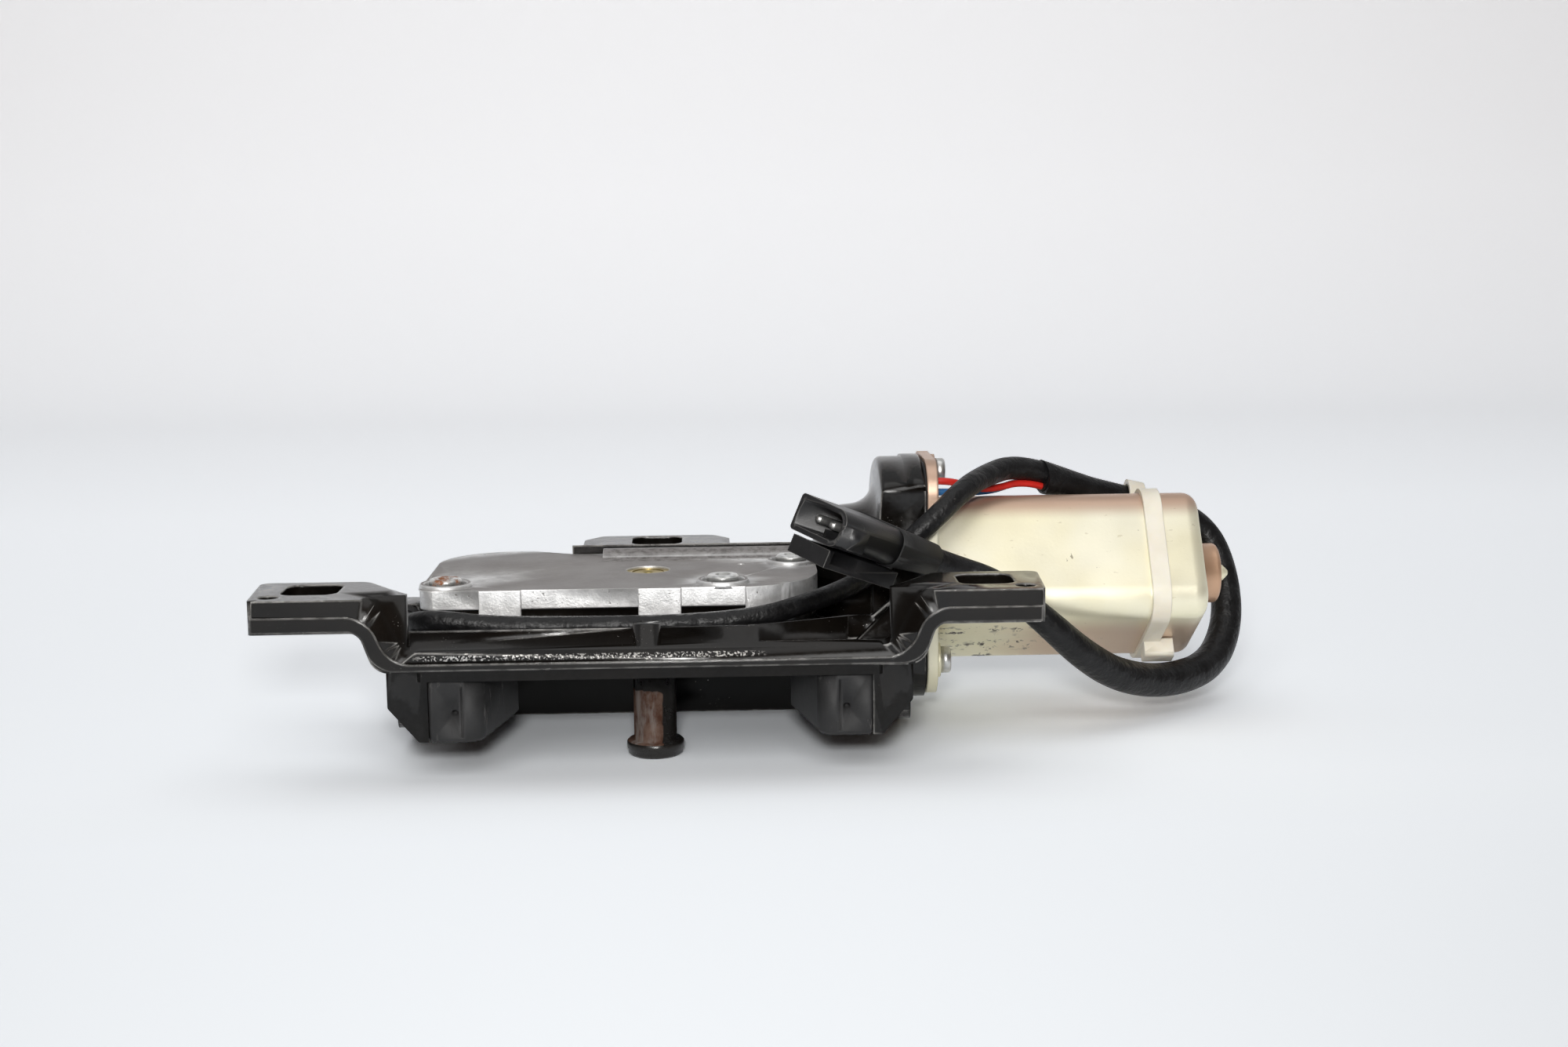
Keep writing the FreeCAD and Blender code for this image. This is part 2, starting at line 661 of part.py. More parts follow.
def cover_gasket():
    ring = plan(cover_corners(wall_inset), housing_rim, cover_bottom)
    ring = ring.cut(plan(cover_corners(cover_rim + 0.2), housing_rim - 1, cover_bottom + 1))
    pads = [rod(cover_screw_head_r + 1.6, housing_rim, cover_bottom, x, y) for x, y in cover_screws_at]
    ring = joined(ring, *pads).common(plan(cover_corners(wall_inset), housing_rim, cover_bottom))
    for x, y in cover_screws_at:
        ring = ring.cut(rod(cover_screw_r + 0.3, housing_rim - 1, cover_bottom + 1, x, y))
    ring = ring.cut(rod(chamber_r, housing_rim - 1, cover_bottom + 1, gear_x, gear_y))
    tunnel_clear = box(end_bush_left - 0.5, neck_start_x, motor_y - tunnel_r - 1, cover_step_y + 5, housing_rim - 1, cover_bottom + 1)
    return ring.cut(tunnel_clear)


# A pan head screw with a hexagon socket, along Z, head up.
def cap_screw(radius, head_r, head_h, length, x, y, seat):
    edge = 0.5
    rim = Part.makeCone(head_r, head_r - edge, edge, Vector(x, y, seat + head_h - edge), Z_AXIS)
    screw = joined(rod(head_r, seat, seat + head_h - edge, x, y), rim, rod(radius, seat - length, seat + edge, x, y))
    socket = Part.makePolygon([
        Vector(x + 0.5 * head_r * math.cos(math.radians(a)), y + 0.5 * head_r * math.sin(math.radians(a)), seat + head_h + 1)
        for a in range(0, 361, 60)])
    return screw.cut(Part.Face(socket).extrude(Vector(0, 0, -1 - head_h * 0.6)))


def along_x(shape):
    return shape.rotate(Vector(0, 0, 0), Y_AXIS, 90)


def cover_screws():
    seat = cover_top - cover_screw_head_h
    length = cover_screw_length - cover_screw_head_h
    return Part.makeCompound([
        cap_screw(cover_screw_r, cover_screw_head_r, cover_screw_head_h, length, x, y, seat)
        for x, y in cover_screws_at])


def guide_bumper():
    top = deck_bottom
    body = plan([
        (guide_front_x, deck_front, 4.5), (cheek_inner_x, deck_front, 1.0),
        (cheek_inner_x, guide_back_y, 1.0), (guide_back_x, guide_back_y, 3.0),
    ], guide_bottom, top)
    low_edges = [e for e in body.Edges if abs(e.BoundBox.ZMax - guide_bottom) < 1e-6 and e.BoundBox.YMin < guide_back_y - 1]
    body = body.makeChamfer(0.9, low_edges)
    groove = box(guide_seam_x - 0.25, guide_seam_x + 0.25, deck_front - 1, deck_front + 0.4, guide_bottom + 1.2, top - 1.5)
    pin_hole = Part.makeCylinder(0.9, 4.0, Vector(guide_seam_x + 1.6, deck_front - 1, -20.5), Y_AXIS)
    return body.cut(groove).cut(pin_hole)


def guide_plate():
    plate = plan([(-guide_plate_half, guide_plate_front, 2.0), (guide_plate_half, guide_plate_front, 2.0),
                  (guide_plate_half, guide_plate_back, 2.0), (-guide_plate_half, guide_plate_back, 2.0)],
                 deck_bottom, deck_bottom + guide_plate_t)
    half = striker_sleeve_r + slot_gap
    slot = plan([(-half, striker_y - half, half - 0.01), (half, striker_y - half, half - 0.01),
                 (half, striker_y + stroke + half, half - 0.01), (-half, striker_y + stroke + half, half - 0.01)],
                deck_bottom - 1, deck_bottom + guide_plate_t + 1)
    plate = plate.cut(slot)
    for x, y in guide_screw_places():
        plate = plate.cut(countersunk(x, y, 0.05))
    return plate


# The form of a countersunk screw with its head down, or of its hole with a gap round it.
def countersunk(x, y, gap=0.0):
    cone_h = guide_screw_head_r - guide_screw_r
    shank_top = deck_bottom + guide_screw_length if not gap else deck_bottom + guide_plate_t + 1
    shank = rod(guide_screw_r + gap * 2, deck_bottom, shank_top, x, y)
    cone = Part.makeCone(guide_screw_head_r + gap, guide_screw_r + gap, cone_h, Vector(x, y, deck_bottom), Z_AXIS)
    return joined(shank, cone)


def guide_plate_screws():
    screws = []
    for x, y in guide_screw_places():
        slot = box(x - 0.35, x + 0.35, y - 2.2, y + 2.2, deck_bottom - 1, deck_bottom + 0.8)
        screws.append(countersunk(x, y).cut(slot))
    return Part.makeCompound(screws)


def slide_carriage():
    plate = plan([(-slide_half, slide_front, 3.0), (slide_half, slide_front, 3.0),
                  (slide_half, slide_back, 3.0), (-slide_half, slide_back, 3.0)], slide_bottom, slide_top)
    plate = plate.cut(rod(striker_spigot_r, slide_bottom - 1, slide_top + 1, 0, striker_y))
    plate = plate.cut(rod(follower_r, slide_bottom - 1, slide_top + 1, gear_x, follower_y))
    for x in (-8.5, 8.5):
        plate = plate.cut(plan([(x - 1.8, 30.0, 1.79), (x + 1.8, 30.0, 1.79), (x + 1.8, 50.0, 1.79), (x - 1.8, 50.0, 1.79)],
                               slide_bottom - 1, slide_top + 1))
    return plate


def striker_pin():
    head_top = stand_level + striker_head_h
    half = striker_head_h / 2
    outline = [
        (0, stand_level, 0), (striker_head_r - striker_head_ridge - 0.6, stand_level, 0),
        (striker_head_r - striker_head_ridge, stand_level + 0.6, 0),
        (striker_head_r - striker_head_ridge, stand_level + half - 0.3, 0),
        (striker_head_r, stand_level + half, 0), (striker_head_r, head_top - 0.5, 0), (striker_head_r - 0.5, head_top, 0),
        (striker_r, head_top, 0), (striker_r, slide_bottom, 0), (striker_spigot_r, slide_bottom, 0),
        (striker_spigot_r, slide_top, 0), (0, slide_top, 0),
    ]
    face = rounded_face(outline, lambda p: Vector(p.x, striker_y, p.y))
    return face.revolve(Vector(0, striker_y, 0), Z_AXIS, 360)


def striker_sleeve():
    return rod(striker_sleeve_r, striker_sleeve_z, slide_bottom, 0, striker_y).cut(
        rod(striker_r, striker_sleeve_z - 1, slide_bottom + 1, 0, striker_y))


def follower_pin():
    return joined(rod(follower_r, slide_bottom, wheel_bottom + 0.25, gear_x, follower_y),
                  rod(follower_r * 0.75, wheel_bottom, wheel_bottom + track_depth - 0.35, gear_x, follower_y))


def follower_roller():
    low, high = wheel_bottom + 0.3, wheel_bottom + track_depth - 0.4
    return rod(roller_r, low, high, gear_x, follower_y).cut(
        rod(follower_r * 0.75 + 0.04, low - 1, high + 1, gear_x, follower_y))


# The spiral track: its middle line leaves the axis evenly as the wheel turns. Seen from the wheel,
# the follower walks backwards through the turn, so the track is laid against the wheel's sense.
def spiral_track():
    def at(turned_by, side):
        radius = track_start_r + stroke * turned_by / gear_turn + side * track_half
        angle = math.radians(90.0 + turned_by)
        return Vector(gear_x + radius * math.cos(angle), gear_y + radius * math.sin(angle), wheel_bottom - 1)

    def run(side, steps):
        curve = Part.BSplineCurve()
        curve.interpolate([at(gear_turn * i / track_steps, side) for i in steps])
        return curve.toShape()

    outer = run(1, range(track_steps + 1))
    inner = run(-1, range(track_steps, -1, -1))
    far = Part.LineSegment(at(gear_turn, 1), at(gear_turn, -1)).toShape()
    near = Part.LineSegment(at(0, -1), at(0, 1)).toShape()
    groove = Part.Face(Part.Wire([outer, far, inner, near])).extrude(Z_AXIS * (track_depth + 1))
    ends = [rod(track_half, wheel_bottom - 1, wheel_bottom + track_depth, at(t, 0).x, at(t, 0).y) for t in (0, gear_turn)]
    return joined(groove, *ends)


# One tooth gap is as wide at the pitch line as a tooth, and each flank gives way by the mesh play.
def tooth_wire(z, turn):
    pitch = 2 * math.pi / gear_teeth
    slope = math.tan(math.radians(pressure_angle))
    half = math.pi * module / 4 - mesh_play
    tip_r, root_r = gear_pitch_r + addendum * module, gear_pitch_r - dedendum * module
    tip = (half - addendum * module * slope) / tip_r
    root = (half + dedendum * module * slope) / root_r
    points = []
    for i in range(gear_teeth):
        middle = i * pitch + math.pi / 2 + turn
        for radius, offset in ((root_r, -root), (tip_r, -tip), (tip_r, tip), (root_r, root)):
            angle = middle + offset
            points.append(Vector(gear_x + radius * math.cos(angle), gear_y + radius * math.sin(angle), z))
    return Part.makePolygon(points + points[:1])


def drive_gear():
    lead = math.atan(module / (2 * worm_pitch_r))
    half_turn = gear_t / 2 * math.tan(lead) / gear_pitch_r
    wheel = Part.makeLoft([tooth_wire(wheel_bottom, -half_turn), tooth_wire(wheel_top, half_turn)], True, True)
    wheel = wheel.cut(spiral_track())
    wheel = wheel.cut(rod(journal_low_r, wheel_bottom - 1, wheel_top + 1, gear_x, gear_y))
    relief = rod(disc_outer_r + 0.6, wheel_top - 0.6, wheel_top + 1, gear_x, gear_y)
    return wheel.cut(relief.cut(rod(disc_inner_r - 0.3, wheel_top - 1, wheel_top + 1, gear_x, gear_y)))


def contact_disc():
    ring = rod(disc_outer_r, wheel_top - 0.6, wheel_top - 0.6 + disc_t, gear_x, gear_y)
    ring = ring.cut(rod(disc_inner_r, wheel_top - 1, wheel_top + 1, gear_x, gear_y))
    window = rod(disc_outer_r - 2.4, wheel_top - 1, wheel_top + 1, gear_x, gear_y)
    window = window.cut(rod(disc_outer_r - 5.6, wheel_top - 2, wheel_top + 2, gear_x, gear_y))
    return ring.cut(window.common(box(gear_x - 30, gear_x - 2, gear_y, gear_y + 30, -10, 10)))


def gear_shaft():
    low_end = slide_top + slide_gap + 0.1
    shaft = joined(rod(journal_low_r, low_end, wheel_top + 0.5, gear_x, gear_y),
                   rod(journal_top_r, wheel_top, cover_top - 0.7, gear_x, gear_y))
    dimple = Part.makeCone(0.0, 1.3, 1.3, Vector(gear_x, gear_y, cover_top - 2.0), Z_AXIS)
    return shaft.cut(dimple)


def bush_z(outer, inner, low, high):
    return rod(outer, low, high, gear_x, gear_y).cut(rod(inner, low - 1, high + 1, gear_x, gear_y))


def lower_bush():
    return bush_z(low_bush_r, journal_low_r + journal_gap, slide_top + slide_gap, chamber_floor)


def thrust_washer():
    return bush_z(track_start_r - track_half - 0.1, journal_low_r + 0.1, chamber_floor, wheel_bottom - 0.08)


def upper_bush():
    return bush_z(top_bush_r, journal_top_r + journal_gap, top_bush_bottom, cover_top - 0.5)


def spring_washer():
    return bush_z(washer_r, journal_top_r, wheel_top, wheel_top + 0.8)


def worm():
    pitch = math.pi * module
    root_r = worm_pitch_r - dedendum * module + 0.15
    tip_r = worm_pitch_r + addendum * module
    slope = math.tan(math.radians(pressure_angle))
    half = math.pi * module / 4 - mesh_play
    sink = 0.3
    left = gear_x - worm_length / 2
    helix = Part.makeHelix(pitch, worm_length, root_r)
    helix.rotate(Vector(0, 0, 0), Y_AXIS, 90)
    corners = [(-sink, -half - (worm_pitch_r - root_r + sink) * slope), (tip_r - root_r, -half + (tip_r - worm_pitch_r) * slope),
               (tip_r - root_r, half - (tip_r - worm_pitch_r) * slope), (-sink, half + (worm_pitch_r - root_r + sink) * slope)]
    start = helix.Vertexes[0].Point
    outward = Vector(0, start.y, start.z).normalize()
    points = [start + outward * u + X_AXIS * v for u, v in corners]
    profile = Part.makePolygon(points + points[:1])
    thread = Part.Wire(helix.Edges).makePipeShell([profile], True, True)
    thread.rotate(Vector(0, 0, 0), X_AXIS, 360.0 * (0.25 - worm_length / 2 / pitch))
    thread.translate(Vector(left, motor_y, motor_z))
    ends_trimmed = rod_x(tip_r + 1, left + half, left + worm_length - half)
    shaft = joined(rod_x(worm_shaft_r, end_bush_left + 0.6, shaft_split - 0.2),
                   rod_x(root_r, left - 1, left + worm_length + 1))
    return joined(shaft, thread.common(ends_trimmed))


def worm_end_bush():
    return tube_x(end_bush_r, worm_shaft_r + journal_gap, end_bush_left, tunnel_left)


def worm_neck_bush():
    return tube_x(tunnel_r, worm_shaft_r + journal_gap, neck_bush_x, neck_bush_x + neck_bush_t)


def shaft_coupling():
    sleeve = tube_x(coupling_r, worm_shaft_r, coupling_left, coupling_right)
    for angle in range(0, 180, 60):
        groove = box(coupling_left - 1, coupling_right + 1, motor_y - 10, motor_y + 10, motor_z - 0.6, motor_z + 0.6)
        groove.rotate(Vector(0, motor_y, motor_z), X_AXIS, angle)
        sleeve = sleeve.cut(groove.cut(rod_x(coupling_r - 1.0, coupling_left - 2, coupling_right + 2)))
    return sleeve


def motor_seal():
    corners = tower_oblong(1.0)
    ring = side_view(corners, tower_right, flange_left).cut(rod_x(14.0, tower_right - 1, flange_left + 1))
    for y, z in motor_screws_at:
        ring = ring.cut(rod_x(motor_screw_r + 0.3, tower_right - 1, flange_left + 1, y, z))
    return ring


def tower_oblong(inset):
    y0, y1 = motor_y - flange_half_y + inset, motor_y + flange_half_y - inset
    z0, z1 = flange_bottom + inset, flange_top - inset
    r = flange_corner - inset
    return [(y0, z0, r), (y1, z0, r), (y1, z1, r), (y0, z1, r)]


def motor_flange():
    plate = side_view(tower_oblong(0.0), flange_left, flange_right)
    plate = plate.cut(rod_x(6.0, flange_left - 1, flange_right + 1))
    for y, z in motor_screws_at:
        plate = plate.cut(rod_x(motor_screw_r + 0.3, flange_left - 1, flange_right + 1, y, z))
    return plate


def can_corners(inset):
    h, r = can_half - inset, can_corner - inset
    return turned([(-h, -h, r), (h, -h, r), (h, h, r), (-h, h, r)], -can_tilt)


def motor_can():
    block = side_view(can_corners(0.0), flange_right, can_end_x)
    end_edges = [e for e in block.Edges if e.BoundBox.XMin > can_end_x - 1e-6]
    block = block.makeFillet(can_edge_r, end_edges)
    boss = rod_x(boss_r, can_end_x - 1, can_end_x + boss_length)
    rim = [e for e in boss.Edges if e.BoundBox.XMin > can_end_x + boss_length - 1e-6]
    boss = boss.makeFillet(1.2, rim)
    block = joined(block, boss)
    block = block.cut(side_view(can_corners(can_wall), flange_right - 1, can_end_x - can_wall))
    return block.cut(rod_x(boss_r - 1.2, can_end_x - 3, can_end_x + boss_length - 1.2))


def rear_bearing():
    return tube_x(boss_r - 1.2, worm_shaft_r - 0.5 + journal_gap, can_end_x - can_wall - 1, can_end_x + boss_length - 1.2)


def front_bearing():
    return tube_x(6.0, worm_shaft_r + journal_gap, flange_left, flange_right + 0.6)


def thrust_pin():
    low = can_end_x + boss_length
    shank = rod_x(thrust_pin_r, low, low + thrust_pin_length - 1.4)
    tip = Part.makeCone(thrust_pin_r, 0.7, 1.4, Vector(low + thrust_pin_length - 1.4, motor_y, motor_z), X_AXIS)
    return joined(shank, tip)


def motor_screws():
    screws = []
    for y, z in motor_screws_at:
        screw = cap_screw(motor_screw_r, motor_screw_head_r, motor_screw_head_h, motor_screw_length, 0, 0, 0)
        screw = along_x(screw)
        screw.translate(Vector(flange_right + motor_washer_t, y, z))
        screws.append(screw)
    return Part.makeCompound(screws)


def motor_washers():
    rings = []
    for y, z in motor_screws_at:
        ring = rod_x(motor_washer_r, flange_right, flange_right + motor_washer_t, y, z)
        rings.append(ring.cut(rod_x(motor_screw_r, flange_right - 1, flange_right + 2, y, z)))
    return Part.makeCompound(rings)


def motor_magnets():
    span = math.radians(magnet_span / 2)
    ring = tube_x(magnet_outer_r, magnet_inner_r, magnet_x[0], magnet_x[1])
    reach = magnet_outer_r * 2
    wedge = [(0, 0, 0), (reach * math.cos(span), reach * math.sin(span), 0),
             (reach * 1.5, 0, 0), (reach * math.cos(span), -reach * math.sin(span), 0)]
    magnets = []
    for angle in (-can_tilt, 180 - can_tilt):
        sector = side_view(turned(wedge, angle), magnet_x[0] - 1, magnet_x[1] + 1)
        magnets.append(ring.common(sector))
    return Part.makeCompound(magnets)


def motor_shaft():
    rear_r = worm_shaft_r - 0.5
    return joined(rod_x(worm_shaft_r, shaft_split + 0.2, armature_x[1] + 6),
                  rod_x(rear_r, armature_x[1] + 5, can_end_x + boss_length - 2.0))


def armature_core():
    core = tube_x(armature_r, worm_shaft_r, armature_x[0], armature_x[1])
    for i in range(armature_slots):
        slot = box(armature_x[0] - 1, armature_x[1] + 1, motor_y - 1.0, motor_y + 1.0, motor_z + 8.0, motor_z + armature_r + 1)
        pocket = rod_x(2.3, armature_x[0] - 1, armature_x[1] + 1, motor_y, motor_z + 7.6)
        both = joined(slot, pocket)
        both.rotate(Vector(0, motor_y, motor_z), X_AXIS, i * 360.0 / armature_slots)
        core = core.cut(both)
    return core


def armature_winding():
    coils = []
    for i in range(armature_slots):
        coil = rod_x(2.1, armature_x[0] - 3.4, armature_x[1] + 3.4, motor_y, motor_z + 7.6)
        coil.rotate(Vector(0, motor_y, motor_z), X_AXIS, i * 360.0 / armature_slots)
        coils.append(coil)
    heads = [tube_x(9.9, 4.6, armature_x[0] - 3.4, armature_x[0] - 0.1),
             tube_x(9.9, 4.6, armature_x[1] + 0.1, armature_x[1] + 3.4)]
    return joined(*(heads + coils))


def commutator():
    drum = tube_x(commutator_r, worm_shaft_r, commutator_x[0], commutator_x[1])
    for i in range(armature_slots):
        slit = box(commutator_x[0] - 1, commutator_x[1] - 1, motor_y - 0.25, motor_y + 0.25,
                   motor_z + commutator_r - 1.0, motor_z + commutator_r + 1)
        slit.rotate(Vector(0, motor_y, motor_z), X_AXIS, (i + 0.5) * 360.0 / armature_slots)
        drum = drum.cut(slit)
    return drum


def brush_plate():
    plate = tube_x(brush_plate_r, commutator_r + 1.5, brush_plate_x[0], brush_plate_x[1])
    for side in (-1, 1):
        holder = box(brush_plate_x[1] - 0.5, commutator_x[1] - 0.6, motor_y - 2.6, motor_y + 2.6, motor_z + 7.4, motor_z + 14.0)
        holder = holder.cut(box(brush_plate_x[1] + 1.2, commutator_x[1] - 1.8, motor_y - 1.6, motor_y + 1.6, motor_z + 6, motor_z + 15))
        if side < 0:
            holder.rotate(Vector(0, motor_y, motor_z), X_AXIS, 180)
        plate = joined(plate, holder)
    return plate


def brushes():
    blocks = []
    for side in (0, 180):
        block = box(brush_plate_x[1] + 1.2, commutator_x[1] - 1.8, motor_y - 1.6, motor_y + 1.6,
                    motor_z + commutator_r - 1, motor_z + 13.0)
        block = block.cut(rod_x(commutator_r + 0.3, brush_plate_x[1], commutator_x[1] + 1))
        block.rotate(Vector(0, motor_y, motor_z), X_AXIS, side)
        blocks.append(block)
    return Part.makeCompound(blocks)


# The end position switch: a moulded carrier whose spring fingers run on the disc on the wheel.
def switch_carrier():
    body = plan(switch_outline, pocket_floor, switch_top)
    left, right, front, back = switch_nose
    nose = box(left, right, front, back, wheel_top + 0.7, cover_top - cover_plate_t - 0.35)
    neck = box(left, switch_neck_x, front, back, switch_top - 0.4, wheel_top + 1.0)
    body = joined(body, neck, nose)
    return body.cut(plan(switch_tray, switch_tray_floor, switch_top + 1))


def wiper_fingers():
    low, high = wheel_top + 0.2, wheel_top + 0.45
    fingers = []
    for i in range(3):
        front = finger_first_y + i * finger_pitch - finger_half
        back = front + 2 * finger_half
        end = gear_x - disc_outer_r + 1.5 + i * finger_step
        finger = box(finger_left, end, front, back, low, high)
        post = box(finger_left, finger_left + finger_post, front, back, high, wheel_top + 0.7)
        fingers.append(joined(finger, post))
    return Part.makeCompound(fingers)


# A cord runs in straight stretches joined by arcs as large as the two stretches allow.
def cord_path(points):
    points = [Vector(*p) for p in points]
    edges, radii, length = [], [], 0.0
    at = points[0]
    for i in range(1, len(points) - 1):
        here = points[i]
        back, ahead = points[i - 1] - here, points[i + 1] - here
        shorter = min(back.Length, ahead.Length)
        back.normalize()
        ahead.normalize()
        inner = back.getAngle(ahead)
        half_turn = (math.pi - inner) / 2
        reach = 0.45 * shorter
        radius = reach / math.tan(half_turn)
        start, end = here + back * reach, here + ahead * reach
        bisector = (back + ahead).normalize()
        middle = here + bisector * (radius / math.cos(half_turn) - radius)
        edges.append(Part.LineSegment(at, start).toShape())
        edges.append(Part.Arc(start, middle, end).toShape())
        radii.append(round(radius, 1))
        at = end
    edges.append(Part.LineSegment(at, points[-1]).toShape())
    return Part.Wire(edges), radii


def cord_tube(name, points, diameter):
    path, radii = cord_path(points)
    start = Vector(*points[0])
    along = (Vector(*points[1]) - start).normalize()
    ring = Part.Wire([Part.makeCircle(diameter / 2, start, along)])
    tube = path.makePipeShell([ring], True, True)
    section = math.pi * diameter ** 2 / 4
    runs = [round((Vector(*b) - Vector(*a)).Length, 1) for a, b in zip(points, points[1:])]
    print(name, "length", round(path.Length, 1), "volume share", round(tube.Volume / (section * path.Length), 4))
    print("   radii", radii, "runs", runs)
    return tube


def lead_points():
    start = [tuple(plug_rear), tuple(plug_rear + plug_direction * lead_start_run)]
    return start + lead_bends + [lead_at_can_end, lead_past_tie, lead_end]


def branch_points():
    start = lead_tip + lead_up * branch_rise
    entry = inlet_front - inlet_flange_t
    end = [(inlet_x, entry - branch_last_run, inlet_z), (inlet_x, entry, inlet_z)]
    return [tuple(start), tuple(start + lead_out * branch_start_run)] + branch_bends + end


def wire_points(side, bends, end):
    start = lead_tip - lead_up * wire_drop + lead_side * side * wire_apart
    last = [(flange_right + wire_last_run, *end), (flange_right, *end)]
    return [tuple(start), tuple(start + lead_out * wire_start_run)] + bends + last


def plug_frame(shape):
    shape.rotate(Vector(0, 0, 0), X_AXIS, plug_roll)
    shape.rotate(Vector(0, 0, 0), Y_AXIS, plug_tilt)
    shape.rotate(Vector(0, 0, 0), Z_AXIS, plug_turn)
    shape.translate(plug_mouth)
    return shape


# An oblong across the plug, its two near corners rounder than the far ones.
def plug_corners(inset):
    d, h = plug_width / 2 - inset, plug_height / 2 - inset
    near, far = plug_near_corner - inset, max(plug_far_corner - inset, 0.5)
    return [(-d, -h, near), (d, -h, far), (d, h, far), (-d, h, near)]


# The plug is drawn lying along X from its open end, near side at low Y, and turned afterwards.
def plug_housing():
    body = side_view(plug_corners(0.0), 0.0, plug_length - plug_boot_length)
    body = body.cut(side_view(plug_corners(plug_wall), -1.0, plug_cavity))
    start, end, proud = plug_pad
    d, h = plug_width / 2, plug_height / 2
    pad = box(start, end, -d - proud, plug_near_corner - d, 0.8 - h, h - 3.2)
    pad = pad.cut(side_view(plug_corners(plug_wall), start - 1, end + 1))
    body = joined(body, pad)
    for i in (-1, 0, 1):
        hole = Part.makeCylinder(plug_pin_r, plug_pin_start + plug_pin_length - plug_cavity + 1,
                                 Vector(plug_cavity - 1, i * plug_pin_pitch, 0), X_AXIS)
        body = body.cut(hole)
    for y in (-plug_pin_pitch / 2, plug_pin_pitch / 2):
        rib = box(plug_cavity - 8.0, plug_cavity + 0.5, y - 0.5, y + 0.5, plug_wall - h - 0.3, -1.6)
        body = joined(body, rib)
    return plug_frame(body)


def plug_pins():
    pins = []
    tip = 0.6
    for i in (-1, 0, 1):
        pin = Part.makeCylinder(plug_pin_r, plug_pin_length - tip, Vector(plug_pin_start + tip, i * plug_pin_pitch, 0), X_AXIS)
        point = Part.makeCone(plug_pin_r - tip, plug_pin_r, tip, Vector(plug_pin_start, i * plug_pin_pitch, 0), X_AXIS)
        pins.append(plug_frame(joined(pin, point)))
    return Part.makeCompound(pins)


def plug_latch():
    top = -plug_height / 2 - plug_latch_gap
    low = top - plug_latch_t
    near, far = plug_latch_y
    bar = box(*plug_latch_x, near, far, low, top)
    pocket_start, pocket_end = plug_latch_pocket
    for y0, y1 in ((near - 1, near + 3.2), (near + 4.6, far - 4.6), (far - 3.2, far + 1)):
        bar = bar.cut(box(pocket_start, pocket_end, y0, y1, low + 1.2, top + 1))
    link = box(*plug_latch_link, near + 2, far - 2, top - 0.5, -plug_height / 2)
    return plug_frame(joined(bar, link))


def plug_boot():
    start = plug_length - plug_boot_length
    d, h = plug_boot_end[0] / 2, plug_boot_end[1] / 2
    r = h - 0.4
    first = rounded_face(plug_corners(-plug_boot_grow), lambda p: Vector(start, p.x, p.y))
    last = rounded_face([(-d, -h, r), (d, -h, r), (d, h, r), (-d, h, r)], lambda p: Vector(plug_length, p.x, p.y))
    return plug_frame(Part.makeLoft([first.OuterWire, last.OuterWire], True, True))


def cable_grommet():
    start = inlet_front - inlet_flange_t
    flange = rod_y(inlet_r + 0.6, start, inlet_front, inlet_x, inlet_z)
    return joined(flange, rod_y(inlet_r, start, inlet_front + 4.0, inlet_x, inlet_z))


# The tie goes round the can and over the lead, so its outline is the can's with a hoop on it.
def cable_tie():
    left, right = tie_x - tie_width / 2, tie_x + tie_width / 2
    start = Vector(*lead_at_can_end)
    along = (Vector(*lead_past_tie) - start).normalize()
    middle = start + along * ((tie_x - start.x) / along.x)
    lead_u, lead_v = turned([(middle.y - motor_y, middle.z - motor_z, 0)], can_tilt, 0, 0)[0][:2]

    def band(reach, outer):
        hoop = Part.makeCylinder(reach, 6 * tie_width, middle - along * 3 * tie_width, along)
        step = [(lead_u - reach, can_half - 2, 0), (lead_u + reach, can_half - 2, 0),
                (lead_u + reach, lead_v, 0), (lead_u - reach, lead_v, 0)]
        return joined(side_view(can_corners(-outer), left - 1, right + 1), hoop, side_view(turned(step, -can_tilt), left - 1, right + 1))

    reach = lead_d / 2 + tie_gap
    strap = band(reach + tie_t, tie_t).cut(band(reach, 0.0))
    strap = strap.common(box(left, right, motor_y - tie_reach, motor_y + tie_reach, -tie_reach, tie_reach))
    half = tie_head_length / 2
    head_top, head_low = -can_half - 0.4, -can_half - tie_head_t
    head = [(tie_head_u - half, head_low, 1.0), (tie_head_u + half, head_low, 1.0),
            (tie_head_u + half, head_top, 0), (tie_head_u - half, head_top, 0)]
    head = side_view(turned(head, -can_tilt), tie_head_x - tie_head_width / 2, tie_head_x + tie_head_width / 2)
    return joined(strap, head)


